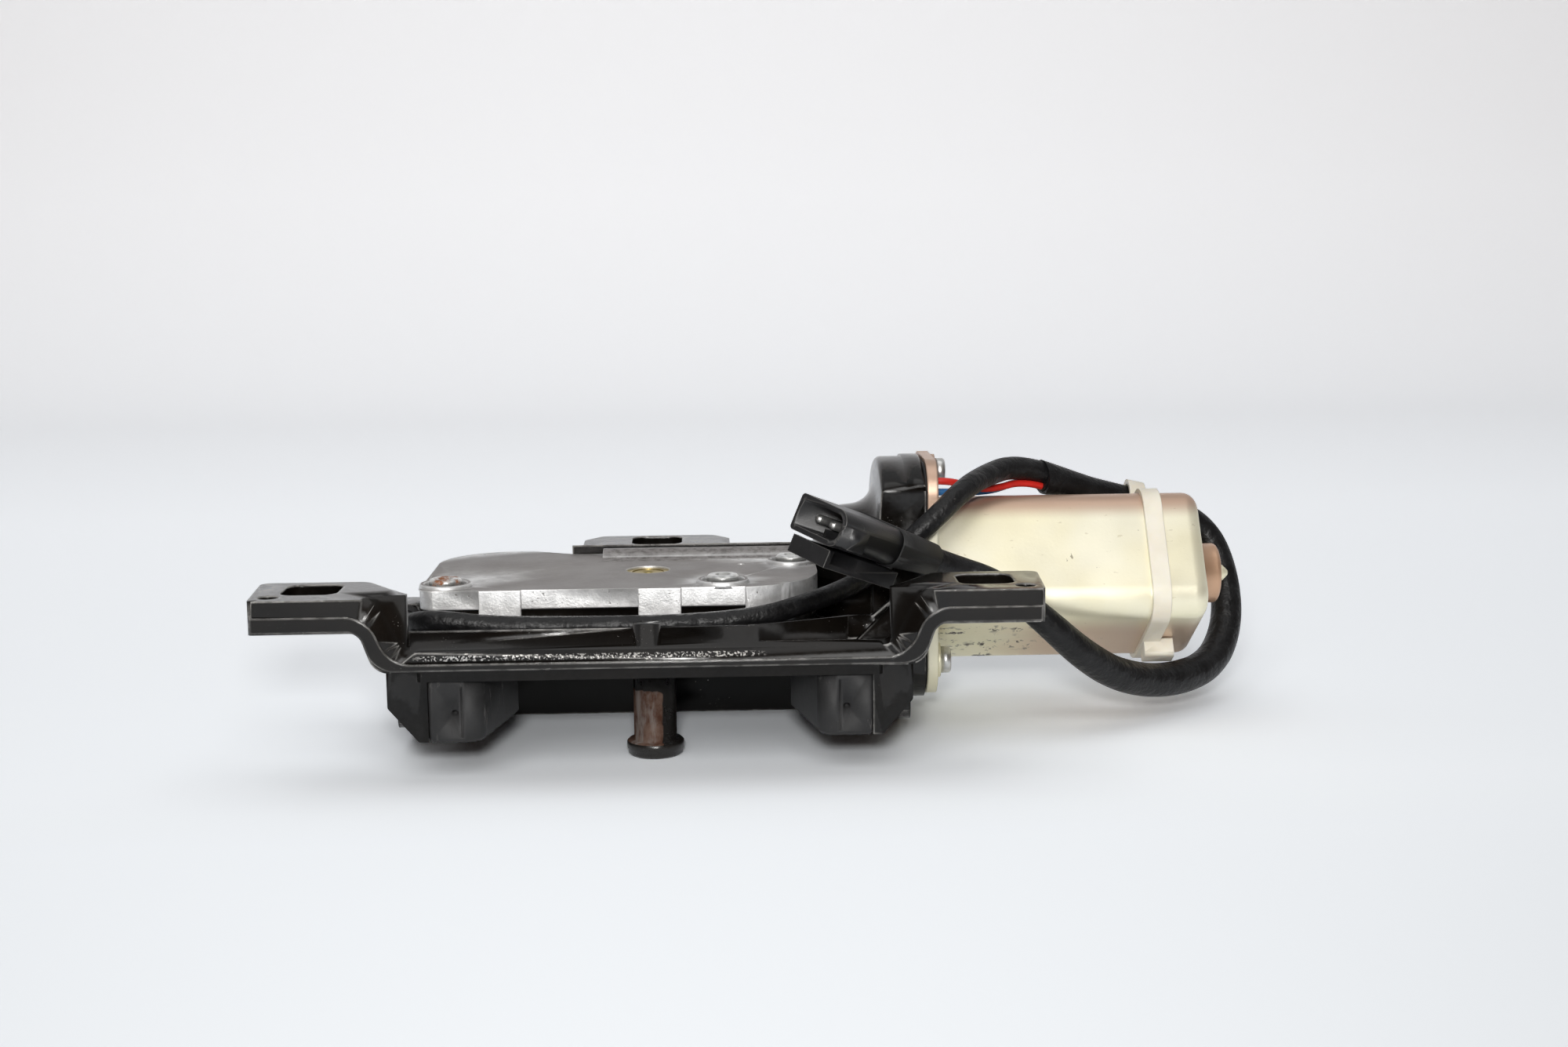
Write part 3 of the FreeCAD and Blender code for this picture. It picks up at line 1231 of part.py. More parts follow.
def build():
    os.makedirs("parts", exist_ok=True)
    parts = {
        "housing": housing(),
        "top_cover": top_cover(),
        "cover_gasket": cover_gasket(),
        "cover_screws": cover_screws(),
        "guide_bumper_right": guide_bumper(),
        "guide_bumper_left": mirrored(guide_bumper()),
        "guide_plate": guide_plate(),
        "guide_plate_screws": guide_plate_screws(),
        "slide_carriage": slide_carriage(),
        "striker_pin": striker_pin(),
        "striker_sleeve": striker_sleeve(),
        "follower_pin": follower_pin(),
        "follower_roller": follower_roller(),
        "drive_gear": drive_gear(),
        "contact_disc": contact_disc(),
        "gear_shaft": gear_shaft(),
        "lower_bush": lower_bush(),
        "thrust_washer": thrust_washer(),
        "upper_bush": upper_bush(),
        "spring_washer": spring_washer(),
        "worm": worm(),
        "worm_end_bush": worm_end_bush(),
        "worm_neck_bush": worm_neck_bush(),
        "shaft_coupling": shaft_coupling(),
        "motor_seal": motor_seal(),
        "motor_flange": motor_flange(),
        "motor_can": motor_can(),
        "rear_bearing": rear_bearing(),
        "front_bearing": front_bearing(),
        "thrust_pin": thrust_pin(),
        "motor_screws": motor_screws(),
        "motor_washers": motor_washers(),
        "motor_magnets": motor_magnets(),
        "motor_shaft": motor_shaft(),
        "armature_core": armature_core(),
        "armature_winding": armature_winding(),
        "commutator": commutator(),
        "brush_plate": brush_plate(),
        "brushes": brushes(),
        "switch_carrier": switch_carrier(),
        "wiper_fingers": wiper_fingers(),
        "plug_housing": plug_housing(),
        "plug_pins": plug_pins(),
        "plug_latch": plug_latch(),
        "plug_boot": plug_boot(),
        "cable_grommet": cable_grommet(),
        "cable_tie": cable_tie(),
        "lead_loop": cord_tube("lead_loop", lead_points(), lead_d),
        "branch_lead": cord_tube("branch_lead", branch_points(), branch_d),
        "red_wire": cord_tube("red_wire", wire_points(-1, red_bends, red_end), wire_d),
        "blue_wire": cord_tube("blue_wire", wire_points(1, blue_bends, blue_end), wire_d),
    }
    for name, shape in parts.items():
        save(name, shape)
    return parts


if __name__ == "__main__":
    build()
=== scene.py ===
import bpy
import bmesh
import json
import math
from mathutils import Matrix, Vector


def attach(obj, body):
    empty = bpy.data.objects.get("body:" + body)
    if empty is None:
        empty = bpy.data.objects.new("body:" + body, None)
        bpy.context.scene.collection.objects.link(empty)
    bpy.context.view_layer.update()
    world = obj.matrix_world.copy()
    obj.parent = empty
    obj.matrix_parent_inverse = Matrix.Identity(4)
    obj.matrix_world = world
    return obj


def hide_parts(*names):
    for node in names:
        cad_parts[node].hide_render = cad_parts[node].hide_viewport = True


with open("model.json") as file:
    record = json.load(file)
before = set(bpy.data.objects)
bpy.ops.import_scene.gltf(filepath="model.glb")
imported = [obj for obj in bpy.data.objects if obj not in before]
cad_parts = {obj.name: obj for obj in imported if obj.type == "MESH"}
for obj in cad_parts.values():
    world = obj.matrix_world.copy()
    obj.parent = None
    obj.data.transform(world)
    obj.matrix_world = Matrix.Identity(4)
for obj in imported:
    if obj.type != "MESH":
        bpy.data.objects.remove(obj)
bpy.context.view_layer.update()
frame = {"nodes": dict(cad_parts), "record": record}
scene = bpy.context.scene
nodeBody = {}
for bodyName, members in frame["record"]["behaviour"]["bodies"].items():
    for member in members:
        nodeBody[member] = bodyName
print("frame loaded:", len(nodeBody), "nodes")


# A shader socket that does sums, so a mask reads as a plain expression
class Wire:
    def __init__(self, finish, socket):
        self.finish = finish
        self.socket = socket

    def maths(self, operation, left, right):
        return self.finish.node("ShaderNodeMath", {"operation": operation}, {0: left, 1: right})

    def __add__(self, other):
        return self.maths("ADD", self, other)

    def __radd__(self, other):
        return self.maths("ADD", other, self)

    def __sub__(self, other):
        return self.maths("SUBTRACT", self, other)

    def __rsub__(self, other):
        return self.maths("SUBTRACT", other, self)

    def __mul__(self, other):
        return self.maths("MULTIPLY", self, other)

    def __rmul__(self, other):
        return self.maths("MULTIPLY", other, self)


# One material: its nodes are all made by node(), and the rest are short names for common ones
class Finish:
    def __init__(self, name, **fixed):
        self.material = bpy.data.materials.new(name)
        self.material.use_nodes = True
        self.tree = self.material.node_tree
        self.shader = self.tree.nodes["Principled BSDF"]
        self.place = self.node("ShaderNodeTexCoord", {}, {}, "Object")
        for socket, value in fixed.items():
            self.shader.inputs[socket.replace("_", " ")].default_value = value

    def node(self, kind, settings, values, output=0):
        made = self.tree.nodes.new(kind)
        for key, value in settings.items():
            setattr(made, key, value)
        for key, value in values.items():
            if isinstance(value, Wire):
                self.tree.links.new(value.socket, made.inputs[key])
            else:
                made.inputs[key].default_value = value
        return Wire(self, made.outputs[output])

    def feed(self, **sockets):
        for socket, value in sockets.items():
            self.tree.links.new(value.socket, self.shader.inputs[socket.replace("_", " ")])
        return self.material

    def noise(self, scale, detail=3.0, rough=0.55, stretch=None):
        place = self.place
        if stretch:
            place = self.node("ShaderNodeMapping", {}, {"Vector": place, "Scale": stretch})
        values = {"Vector": place, "Scale": scale, "Detail": detail, "Roughness": rough}
        return self.node("ShaderNodeTexNoise", {}, values)

    def rise(self, value, low, high):
        settings = {"interpolation_type": "SMOOTHSTEP"}
        return self.node("ShaderNodeMapRange", settings, {0: value, 1: low, 2: high})

    def mix(self, amount, low, high):
        return self.node("ShaderNodeMix", {"data_type": "RGBA"}, {0: amount, 6: low, 7: high}, 2)

    def along(self, axis):
        return self.node("ShaderNodeSeparateXYZ", {}, {0: self.place}, axis)

    def facing(self, axis):
        normal = self.node("ShaderNodeNewGeometry", {}, {}, "Normal")
        return self.node("ShaderNodeSeparateXYZ", {}, {0: normal}, axis)

    def within(self, value, span, soft):
        low, high = span
        return self.rise(value, low - soft, low + soft) * (1.0 - self.rise(value, high - soft, high + soft))

    def rounded(self, radius):
        return self.node("ShaderNodeBevel", {"samples": 6}, {"Radius": radius})

    def edges(self, rounded, low=0.01, high=0.12):
        normal = self.node("ShaderNodeNewGeometry", {}, {}, "Normal")
        settings = {"operation": "DOT_PRODUCT"}
        same = self.node("ShaderNodeVectorMath", settings, {0: rounded, 1: normal}, "Value")
        return self.rise(1.0 - same, low, high)

    def bump(self, height, depth, normal=None):
        values = {"Height": height, "Distance": depth, "Strength": 1.0}
        if normal:
            values["Normal"] = normal
        return self.node("ShaderNodeBump", {}, values)


# Finishes, in linear colour and metres
blackSkin = {
    "rounded": 0.0010,
    "frontFace": (-0.0047, -0.0043),
    "rubbedX": (-0.054, 0.026),
    "rubbedZ": (-0.0069, -0.0056),
    "dark": (0.0024, 0.0020, 0.0017, 1),
    "light": (0.0070, 0.0056, 0.0044, 1),
    # colour of the highlight lines painted along the edges
    "edge": (0.56, 0.55, 0.53, 1),
    "bare": (0.70, 0.68, 0.65, 1),
}


# Gloss paint with pale highlight lines painted along its edges, chips, small dots and a speckled rubbed band
# along the rail's front
def blackPaint():
    look = Finish("blackPaint", IOR=1.5, Specular_IOR_Level=0.36)
    soft = look.rounded(blackSkin["rounded"])
    edge = look.edges(soft, 0.04, 0.20)
    broad = look.noise(38, 4)
    fine = look.noise(900, 5)
    # glint: pale lines painted along the edges as highlights
    glint = edge * (0.35 + look.rise(look.noise(180, 3), 0.40, 0.60) * 0.65)
    dots = look.rise(look.noise(2600, 2), 0.69, 0.73) * look.rise(look.noise(80, 3), 0.50, 0.66)
    chipped = edge * look.rise(look.noise(520, 6, 0.7), 0.56, 0.62)
    front = 1.0 - look.rise(look.along("Y"), *blackSkin["frontFace"])
    band = look.within(look.along("X"), blackSkin["rubbedX"], 0.005)
    band = band * look.within(look.along("Z"), blackSkin["rubbedZ"], 0.0003)
    rubbed = band * front * look.rise(look.noise(1900, 3, 0.7), 0.52, 0.57)
    bare = look.rise(chipped * 0.8 + dots * 0.7 + rubbed, 0.2, 0.9)
    colour = look.mix(look.rise(broad, 0.35, 0.7), blackSkin["dark"], blackSkin["light"])
    colour = look.mix(glint * 0.85, colour, blackSkin["edge"])
    colour = look.mix(bare, colour, blackSkin["bare"])
    roughness = 0.13 + look.rise(fine, 0.3, 0.8) * 0.10 + bare * 0.20
    height = look.noise(260, 2) * 0.5 + fine * 0.12 + bare * -0.4
    relief = look.bump(height, 0.00009, soft)
    return look.feed(Base_Color=colour, Roughness=roughness, Metallic=bare, Normal=relief)


coverSkin = {
    "rounded": 0.0005,
    "roughY": (0.0535, 0.0565),
    "roughX": (-0.016, -0.012),
    # satin colour of the upward faces, kept dark as painted shade
    "satin": ((0.235, 0.222, 0.215, 1), (0.300, 0.288, 0.282, 1)),
    "dust": (0.38, 0.365, 0.355, 1),
    "grime": (0.10, 0.09, 0.085, 1),
    # skin colour of the walls and tabs, kept light as painted light
    "bright": ((0.60, 0.60, 0.60, 1), (0.84, 0.84, 0.84, 1)),
    "pit": (0.13, 0.12, 0.11, 1),
    "edge": (0.82, 0.82, 0.81, 1),
}


# The cover: satin grey on top, darker there as painted shade, rough at its back right, and bright skin on the
# walls and tabs at its sides, lighter there as painted light
def castCover():
    look = Finish("castCover", IOR=1.5)
    soft = look.rounded(coverSkin["rounded"])
    edge = look.edges(soft, 0.02, 0.14)
    top = look.rise(look.facing("Z"), 0.75, 0.95)
    mottled = look.noise(60, 5, 0.6)
    grain = look.noise(1700, 4, 0.65)
    pits = look.rise(look.noise(1100, 3), 0.64, 0.70) * look.rise(look.noise(150, 3), 0.45, 0.6)
    rough = look.rise(look.along("Y"), *coverSkin["roughY"])
    rough = rough * look.rise(look.along("X"), *coverSkin["roughX"])
    dust = look.rise(look.noise(170, 6, 0.7), 0.45, 0.75)
    shade = look.mix(look.rise(mottled, 0.3, 0.72), *coverSkin["satin"])
    shade = look.mix(dust * 0.25, shade, coverSkin["dust"])
    grime = rough * look.rise(look.noise(520, 6, 0.7), 0.44, 0.62) * 0.7
    shade = look.mix(grime, shade, coverSkin["grime"])
    bright = look.mix(look.rise(look.noise(240, 5), 0.35, 0.7), *coverSkin["bright"])
    bright = look.mix(pits * 0.8, bright, coverSkin["pit"])
    # upward faces take the painted-shade top colour, the others the painted-light wall colour
    colour = look.mix(top, bright, shade)
    colour = look.mix(edge * 0.6, colour, coverSkin["edge"])
    roughness = 0.36 + top * 0.14 + grain * 0.14
    metallic = 0.72 - top * 0.22
    height = grain * 0.6 + mottled * 0.05 + rough * look.noise(620, 6, 0.7) * 2.0 + pits * -0.6
    relief = look.bump(height, 0.00012, soft)
    return look.feed(Base_Color=colour, Roughness=roughness, Metallic=metallic, Normal=relief)


zincSkin = {
    "rounded": 0.0008,
    "crownAbove": (0.0150, 0.0195),
    "underBelow": (0.0085, 0.0150),
    "underX": (0.104, 0.132),
    "bossX": (0.1440, 0.1450),
    "spotsX": (0.094, 0.112),
    "spotsBelow": (0.0105, 0.0125),
    "yellow": ((0.93, 0.90, 0.73, 1), (0.91, 0.86, 0.63, 1)),
    "green": (0.78, 0.80, 0.55, 1),
    "crown": (0.52, 0.35, 0.26, 1),
    "under": (0.62, 0.44, 0.34, 1),
    "scuff": (0.46, 0.40, 0.26, 1),
    "mark": (0.14, 0.11, 0.06, 1),
    "boss": (0.56, 0.34, 0.22, 1),
    "spot": (0.050, 0.040, 0.028, 1),
}


# Yellow zinc: pale in the middle, with pink reflections painted in at the crown and underneath, and on the
# can a copper boss and spots
def yellowZinc(name, spotted):
    look = Finish(name, Coat_Weight=0.12)
    soft = look.rounded(zincSkin["rounded"])
    height = look.along("Z")
    wide = look.noise(22, 3)
    tint = look.noise(48, 4, 0.6, (0.5, 1, 1))
    colour = look.mix(look.rise(wide, 0.38, 0.62), *zincSkin["yellow"])
    colour = look.mix(look.rise(tint, 0.55, 0.75) * 0.35, colour, zincSkin["green"])
    # a pink band along the top, painted in as a reflection of the curved edge
    crown = look.rise(height, *zincSkin["crownAbove"])
    colour = look.mix(crown * 0.95, colour, zincSkin["crown"])
    # a pinkish patch on the lower right side, painted in as a reflection of the table and its shadow
    under = look.rise(-1.0 * height, *zincSkin["underBelow"])
    under = under * look.rise(look.along("X") + wide * 0.04, *zincSkin["underX"])
    colour = look.mix(under * 0.75, colour, zincSkin["under"])
    scuffs = look.rise(look.noise(900, 4, 0.6, (0.35, 1, 1)), 0.67, 0.71)
    colour = look.mix(scuffs * 0.35, colour, zincSkin["scuff"])
    marks = look.rise(look.noise(300, 3, 0.5), 0.71, 0.735)
    colour = look.mix(marks * 0.7, colour, zincSkin["mark"])
    if spotted:
        boss = look.rise(look.along("X"), *zincSkin["bossX"])
        colour = look.mix(boss * 0.95, colour, zincSkin["boss"])
        where = 1.0 - look.rise(look.along("X"), *zincSkin["spotsX"])
        where = where * look.rise(-1.0 * height, *zincSkin["spotsBelow"])
        spots = look.rise(look.noise(420, 4, 0.6), 0.54, 0.60)
        spots = spots * look.rise(look.noise(150, 2), 0.44, 0.6) * where
        colour = look.mix(spots, colour, zincSkin["spot"])
    roughness = 0.36 + look.rise(look.noise(70, 4), 0.3, 0.7) * 0.12 + scuffs * 0.15
    waves = look.noise(35, 2) * 1.4 + look.noise(1300, 3) * 0.10
    metallic = 0.62 - marks * 0.4
    relief = look.bump(waves, 0.00022, soft)
    return look.feed(Base_Color=colour, Roughness=roughness, Metallic=metallic, Normal=relief)


def scaled(colour, share):
    return tuple(c * share for c in colour[:3]) + (1,)


# Zinc or ground steel; rustAmount adds rust to what lies left of rustEnd
def brightSteel(name, colour, rustAmount=0.0, rustEnd=0.0):
    look = Finish(name)
    soft = look.rounded(0.00035)
    edge = look.edges(soft)
    cloud = look.noise(260, 5, 0.65)
    shade = look.mix(look.rise(cloud, 0.35, 0.7), colour, scaled(colour, 0.66))
    shade = look.mix(edge * 0.5, shade, (0.9, 0.9, 0.88, 1))
    if rustAmount:
        rust = look.rise(look.noise(380, 6, 0.7), 0.66 - rustAmount * 0.3, 0.74 - rustAmount * 0.2)
        rust = rust * (1.0 - look.rise(look.along("X"), rustEnd, rustEnd + 0.01))
        shade = look.mix(rust, shade, (0.24, 0.085, 0.030, 1))
        roughness = 0.30 + rust * 0.45
        metallic = 0.95 - rust * 0.85
        relief = look.bump(cloud + rust * 0.5, 0.00006, soft)
    else:
        roughness = 0.24 + cloud * 0.2
        metallic = 1.0 - cloud * 0.1
        relief = look.bump(cloud, 0.00005, soft)
    return look.feed(Base_Color=shade, Roughness=roughness, Metallic=metallic, Normal=relief)


pinSkin = {
    "rounded": 0.0005,
    "paintX": (0.0014, 0.0026),
    "headZ": (-0.0352, -0.0346),
    "upperZ": (-0.0222, -0.0208),
    "rust": ((0.105, 0.046, 0.028, 1), (0.215, 0.140, 0.108, 1)),
    "grey": (0.34, 0.31, 0.29, 1),
    "paint": (0.011, 0.010, 0.009, 1),
    "worn": (0.55, 0.52, 0.48, 1),
}


# The pin: rusty steel at its left, black paint at its right, its top and its head, bright where it is rubbed
def strikerSteel():
    look = Finish("strikerSteel")
    soft = look.rounded(pinSkin["rounded"])
    edge = look.edges(soft)
    cloud = look.noise(210, 6, 0.7)
    streak = look.noise(150, 5, 0.6, (1.0, 1.0, 0.25))
    rust = look.mix(look.rise(cloud, 0.35, 0.68), *pinSkin["rust"])
    rust = look.mix(look.rise(streak, 0.56, 0.66) * 0.7, rust, pinSkin["grey"])
    painted = look.rise(look.along("X") + (streak - 0.5) * 0.006, *pinSkin["paintX"])
    head = 1.0 - look.rise(look.along("Z"), *pinSkin["headZ"])
    upper = look.rise(look.along("Z") + (cloud - 0.5) * 0.003, *pinSkin["upperZ"])
    painted = look.rise(painted + head + upper, 0.3, 0.7)
    colour = look.mix(painted, rust, pinSkin["paint"])
    worn = edge * head * look.rise(look.noise(500, 5, 0.7), 0.46, 0.56)
    colour = look.mix(worn, colour, pinSkin["worn"])
    roughness = 0.52 - painted * 0.30 + cloud * 0.12
    metallic = look.rise(1.0 - painted + worn, 0.2, 1.0) * 0.55
    relief = look.bump(cloud + streak * 0.5, 0.00012, soft)
    return look.feed(Base_Color=colour, Roughness=roughness, Metallic=metallic, Normal=relief)


def scuffedRubber(name, base, scuff, depth):
    look = Finish(name, Specular_IOR_Level=0.35)
    soft = look.rounded(0.0006)
    edge = look.edges(soft)
    cloud = look.noise(120, 5, 0.65)
    scratch = look.rise(look.noise(520, 5, 0.7, (1.0, 1.0, 0.35)), 0.58, 0.68)
    scratch = scratch * look.rise(look.noise(60, 2), 0.42, 0.6)
    shade = look.mix(look.rise(cloud, 0.3, 0.75), base, scaled(base, 1.9))
    shade = look.mix(scratch * 0.6 + edge * 0.25, shade, scuff)
    relief = look.bump(cloud + scratch, depth, soft)
    return look.feed(Base_Color=shade, Roughness=0.50 + cloud * 0.22, Normal=relief)


def mouldedPlastic(name, base, matt=0.32):
    look = Finish(name)
    soft = look.rounded(0.0004)
    edge = look.edges(soft)
    cloud = look.noise(150, 4)
    grain = look.noise(1900, 3)
    dust = look.rise(look.noise(900, 4, 0.7), 0.64, 0.72) * look.rise(cloud, 0.4, 0.7)
    shade = look.mix(look.rise(cloud, 0.3, 0.75), base, scaled(base, 1.6))
    # dust, and a highlight painted along the edges, lighten the colour
    shade = look.mix(dust * 0.5 + edge * 0.30, shade, (0.30, 0.29, 0.27, 1))
    relief = look.bump(grain * 0.5 + cloud, 0.00005, soft)
    return look.feed(Base_Color=shade, Roughness=matt + cloud * 0.14, Normal=relief)


def nylon():
    look = Finish("naturalNylon", Subsurface_Weight=0.25, Subsurface_Scale=0.5,
                  Subsurface_Radius=(0.004, 0.003, 0.0015))
    soft = look.rounded(0.0004)
    cloud = look.noise(110, 3)
    shade = look.mix(look.rise(cloud, 0.3, 0.75), (0.74, 0.69, 0.58, 1), (0.80, 0.76, 0.66, 1))
    return look.feed(Base_Color=shade, Roughness=0.34 + cloud * 0.1, Normal=look.bump(cloud, 0.00010, soft))


# Soft sleeving: creases and folds, a dull shine and some dust
def sleeving():
    look = Finish("blackSleeving", Specular_IOR_Level=0.34)
    crease = look.noise(120, 4, 0.6)
    fold = look.noise(260, 3, 0.6)
    dust = look.rise(look.noise(620, 6, 0.75), 0.63, 0.74) * look.rise(look.noise(45, 2), 0.45, 0.62)
    shade = look.mix(look.rise(crease, 0.35, 0.7), (0.0030, 0.0030, 0.0033, 1), (0.0085, 0.0085, 0.0092, 1))
    shade = look.mix(dust * 0.5, shade, (0.13, 0.125, 0.12, 1))
    relief = look.bump(crease * 1.1 + fold * 0.4, 0.0011)
    return look.feed(Base_Color=shade, Roughness=0.36 + crease * 0.16, Normal=relief)


def insulation(name, colour):
    look = Finish(name)
    cloud = look.noise(300, 3)
    shade = look.mix(look.rise(cloud, 0.3, 0.8), colour, scaled(colour, 0.7))
    return look.feed(Base_Color=shade, Roughness=0.36 + cloud * 0.1)


def plainMetal(name, colour, rough):
    look = Finish(name)
    cloud = look.noise(200, 4)
    shade = look.mix(look.rise(cloud, 0.3, 0.8), colour, scaled(colour, 0.75))
    return look.feed(Base_Color=shade, Roughness=rough + cloud * 0.15, Metallic=1.0 - cloud * 0.1)


finishes = {
    "black": blackPaint(),
    "cover": castCover(),
    "can": yellowZinc("yellowZincCan", True),
    "flange": yellowZinc("yellowZincPlate", False),
    "screw": brightSteel("brightZinc", (0.74, 0.74, 0.72, 1)),
    "coverScrew": brightSteel("rustedZinc", (0.74, 0.74, 0.72, 1), 0.7, -0.03),
    "steel": brightSteel("groundSteel", (0.52, 0.52, 0.53, 1)),
    "brass": plainMetal("greasyBrass", (0.42, 0.33, 0.13, 1), 0.3),
    "bronze": plainMetal("sinteredBronze", (0.50, 0.34, 0.18, 1), 0.4),
    "copper": plainMetal("enamelledCopper", (0.66, 0.30, 0.16, 1), 0.3),
    "pin": strikerSteel(),
    "collar": mouldedPlastic("darkCollar", (0.012, 0.011, 0.010, 1), 0.30),
    "guide": scuffedRubber("guideRubber", (0.0125, 0.0125, 0.0130, 1), (0.13, 0.127, 0.123, 1), 0.00014),
    "rubber": scuffedRubber("sealRubber", (0.0085, 0.0085, 0.0088, 1), (0.06, 0.06, 0.06, 1), 0.00005),
    "plastic": mouldedPlastic("blackPlastic", (0.0085, 0.0085, 0.0092, 1)),
    "wheel": mouldedPlastic("wheelPlastic", (0.42, 0.40, 0.33, 1), 0.4),
    "magnet": mouldedPlastic("ferrite", (0.05, 0.05, 0.055, 1), 0.5),
    "tie": nylon(),
    "sleeve": sleeving(),
    "red": insulation("redInsulation", (0.62, 0.020, 0.012, 1)),
    "blue": insulation("blueInsulation", (0.015, 0.13, 0.34, 1)),
}
print("finishes made:", len(finishes))

finishNodes = {
    "black": ("housing",),
    "cover": ("top_cover",),
    "coverScrew": ("cover_screws",),
    "guide": ("guide_bumper_left", "guide_bumper_right"),
    "rubber": ("cover_gasket", "motor_seal", "plug_boot", "cable_grommet"),
    "pin": ("striker_pin",),
    "collar": ("striker_sleeve",),
    "can": ("motor_can",),
    "flange": ("motor_flange", "thrust_pin", "motor_washers"),
    "screw": ("guide_plate_screws", "motor_screws", "plug_pins"),
    "steel": ("guide_plate", "slide_carriage", "follower_pin", "follower_roller", "thrust_washer",
              "spring_washer", "worm", "shaft_coupling", "motor_shaft", "armature_core"),
    "brass": ("gear_shaft", "upper_bush"),
    "bronze": ("contact_disc", "lower_bush", "worm_end_bush", "worm_neck_bush", "rear_bearing",
               "front_bearing", "wiper_fingers"),
    "copper": ("armature_winding", "commutator"),
    "wheel": ("drive_gear",),
    "magnet": ("motor_magnets", "brushes"),
    "plastic": ("brush_plate", "switch_carrier", "plug_housing", "plug_latch"),
    "tie": ("cable_tie",),
}


def inPlace(name, mesh, finish, body, node=None):
    piece = bpy.data.objects.new(name, mesh)
    scene.collection.objects.link(piece)
    mesh.materials.clear()
    mesh.materials.append(finishes[finish])
    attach(piece, body)
    if node:
        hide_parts(node)
    return piece


smoothing = {
    "merge": 1e-6,
    "sharpFrom": 32,
}


# A copy of a solid with its triangles merged, so that its round faces shade smoothly
def smoothCopy(node, finish):
    mesh = frame["nodes"][node].data.copy()
    shell = bmesh.new()
    shell.from_mesh(mesh)
    bmesh.ops.remove_doubles(shell, verts=shell.verts, dist=smoothing["merge"])
    shell.to_mesh(mesh)
    shell.free()
    mesh.shade_smooth()
    mesh.set_sharp_from_angle(angle=math.radians(smoothing["sharpFrom"]))
    first, *rest = node.split("_")
    name = first + "".join(word.title() for word in rest)
    return inPlace(name, mesh, finish, nodeBody[node], node)


pieces = {}
for finish, nodes in finishNodes.items():
    for node in nodes:
        pieces[node] = smoothCopy(node, finish)
print("solids dressed:", len(pieces))


# The cover screws stand proud of the cover, each in a boss with a chamfered rim
screwBoss = {
    "lift": 0.0020,
    "places": ((-0.0505, 0.0223), (0.0175, 0.0219), (0.0354, 0.0501)),
    "inner": 0.0052,
    "outer": 0.0066,
    "low": 0.0055,
    "high": 0.0070,
    "chamfer": 0.0003,
    "lip": 0.0002,
    "around": 40,
}
for vertex in pieces["cover_screws"].data.vertices:
    vertex.co.z += screwBoss["lift"]


def bossRims():
    shell = bmesh.new()
    inner, outer = screwBoss["inner"], screwBoss["outer"]
    low, high = screwBoss["low"], screwBoss["high"]
    chamfer, lip = screwBoss["chamfer"], screwBoss["lip"]
    profile = ((inner, low), (outer, low), (outer - chamfer, high - chamfer), (outer - 2 * chamfer, high),
               (inner + chamfer, high), (inner, high - lip))
    for x, y in screwBoss["places"]:
        corners = [shell.verts.new((x + r, y, z)) for r, z in profile]
        sides = [shell.edges.new((a, b)) for a, b in zip(corners, corners[1:] + corners[:1])]
        bmesh.ops.spin(shell, geom=corners + sides, cent=(x, y, 0), axis=(0, 0, 1), angle=math.tau,
                       steps=screwBoss["around"], use_merge=True)
    bmesh.ops.recalc_face_normals(shell, faces=shell.faces)
    mesh = bpy.data.meshes.new("bossRims")
    shell.to_mesh(mesh)
    shell.free()
    mesh.shade_smooth()
    inPlace("bossRims", mesh, "cover", "housing")


bossRims()


cordMesh = {
    "roundness": 8,
    "alongEachStretch": 16,
}


# A cord along its route; swell makes it thicker or thinner at each point
def cordCurve(name, cord, finish, node):
    curve = bpy.data.curves.new(name, "CURVE")
    curve.dimensions = "3D"
    curve.bevel_depth = cord["diameter"] / 2
    curve.bevel_resolution = cordMesh["roundness"]
    curve.resolution_u = cordMesh["alongEachStretch"]
    curve.use_fill_caps = True
    line = curve.splines.new("NURBS")
    line.points.add(len(cord["route"]) - 1)
    for point, place, swell in zip(line.points, cord["route"], cord["swell"]):
        point.co = (*place, 1.0)
        point.radius = swell
    line.order_u = 3
    line.use_endpoint_u = True
    curve.materials.append(finishes[finish])
    piece = bpy.data.objects.new(name, curve)
    scene.collection.objects.link(piece)
    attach(piece, nodeBody[node])
    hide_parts(node)
    return piece


# The routes have the same points as the source, in metres
lead = {
    "diameter": 0.0074,
    "length": 0.1990,
    "route": [
        (0.1040, 0.0693, 0.0249), (0.1210, 0.0753, 0.0196), (0.1430, 0.0827, 0.0141),
        (0.1530, 0.0837, 0.0070), (0.1570, 0.0806, -0.0045), (0.1565, 0.0736, -0.0175),
        (0.1495, 0.0641, -0.0270), (0.1350, 0.0536, -0.0286), (0.1205, 0.0436, -0.0246),
        (0.1095, 0.0366, -0.0170), (0.0990, 0.0321, -0.0070), (0.0875, 0.0351, 0.0026),
        (0.07545, 0.03658, 0.00668), (0.0686, 0.0301, 0.0100),
    ],
    "swell": [1.0, 0.88, 0.9, 1.0, 1.08, 1.14, 1.2, 1.24, 1.18, 1.1, 0.98, 0.86, 0.84, 0.88],
}
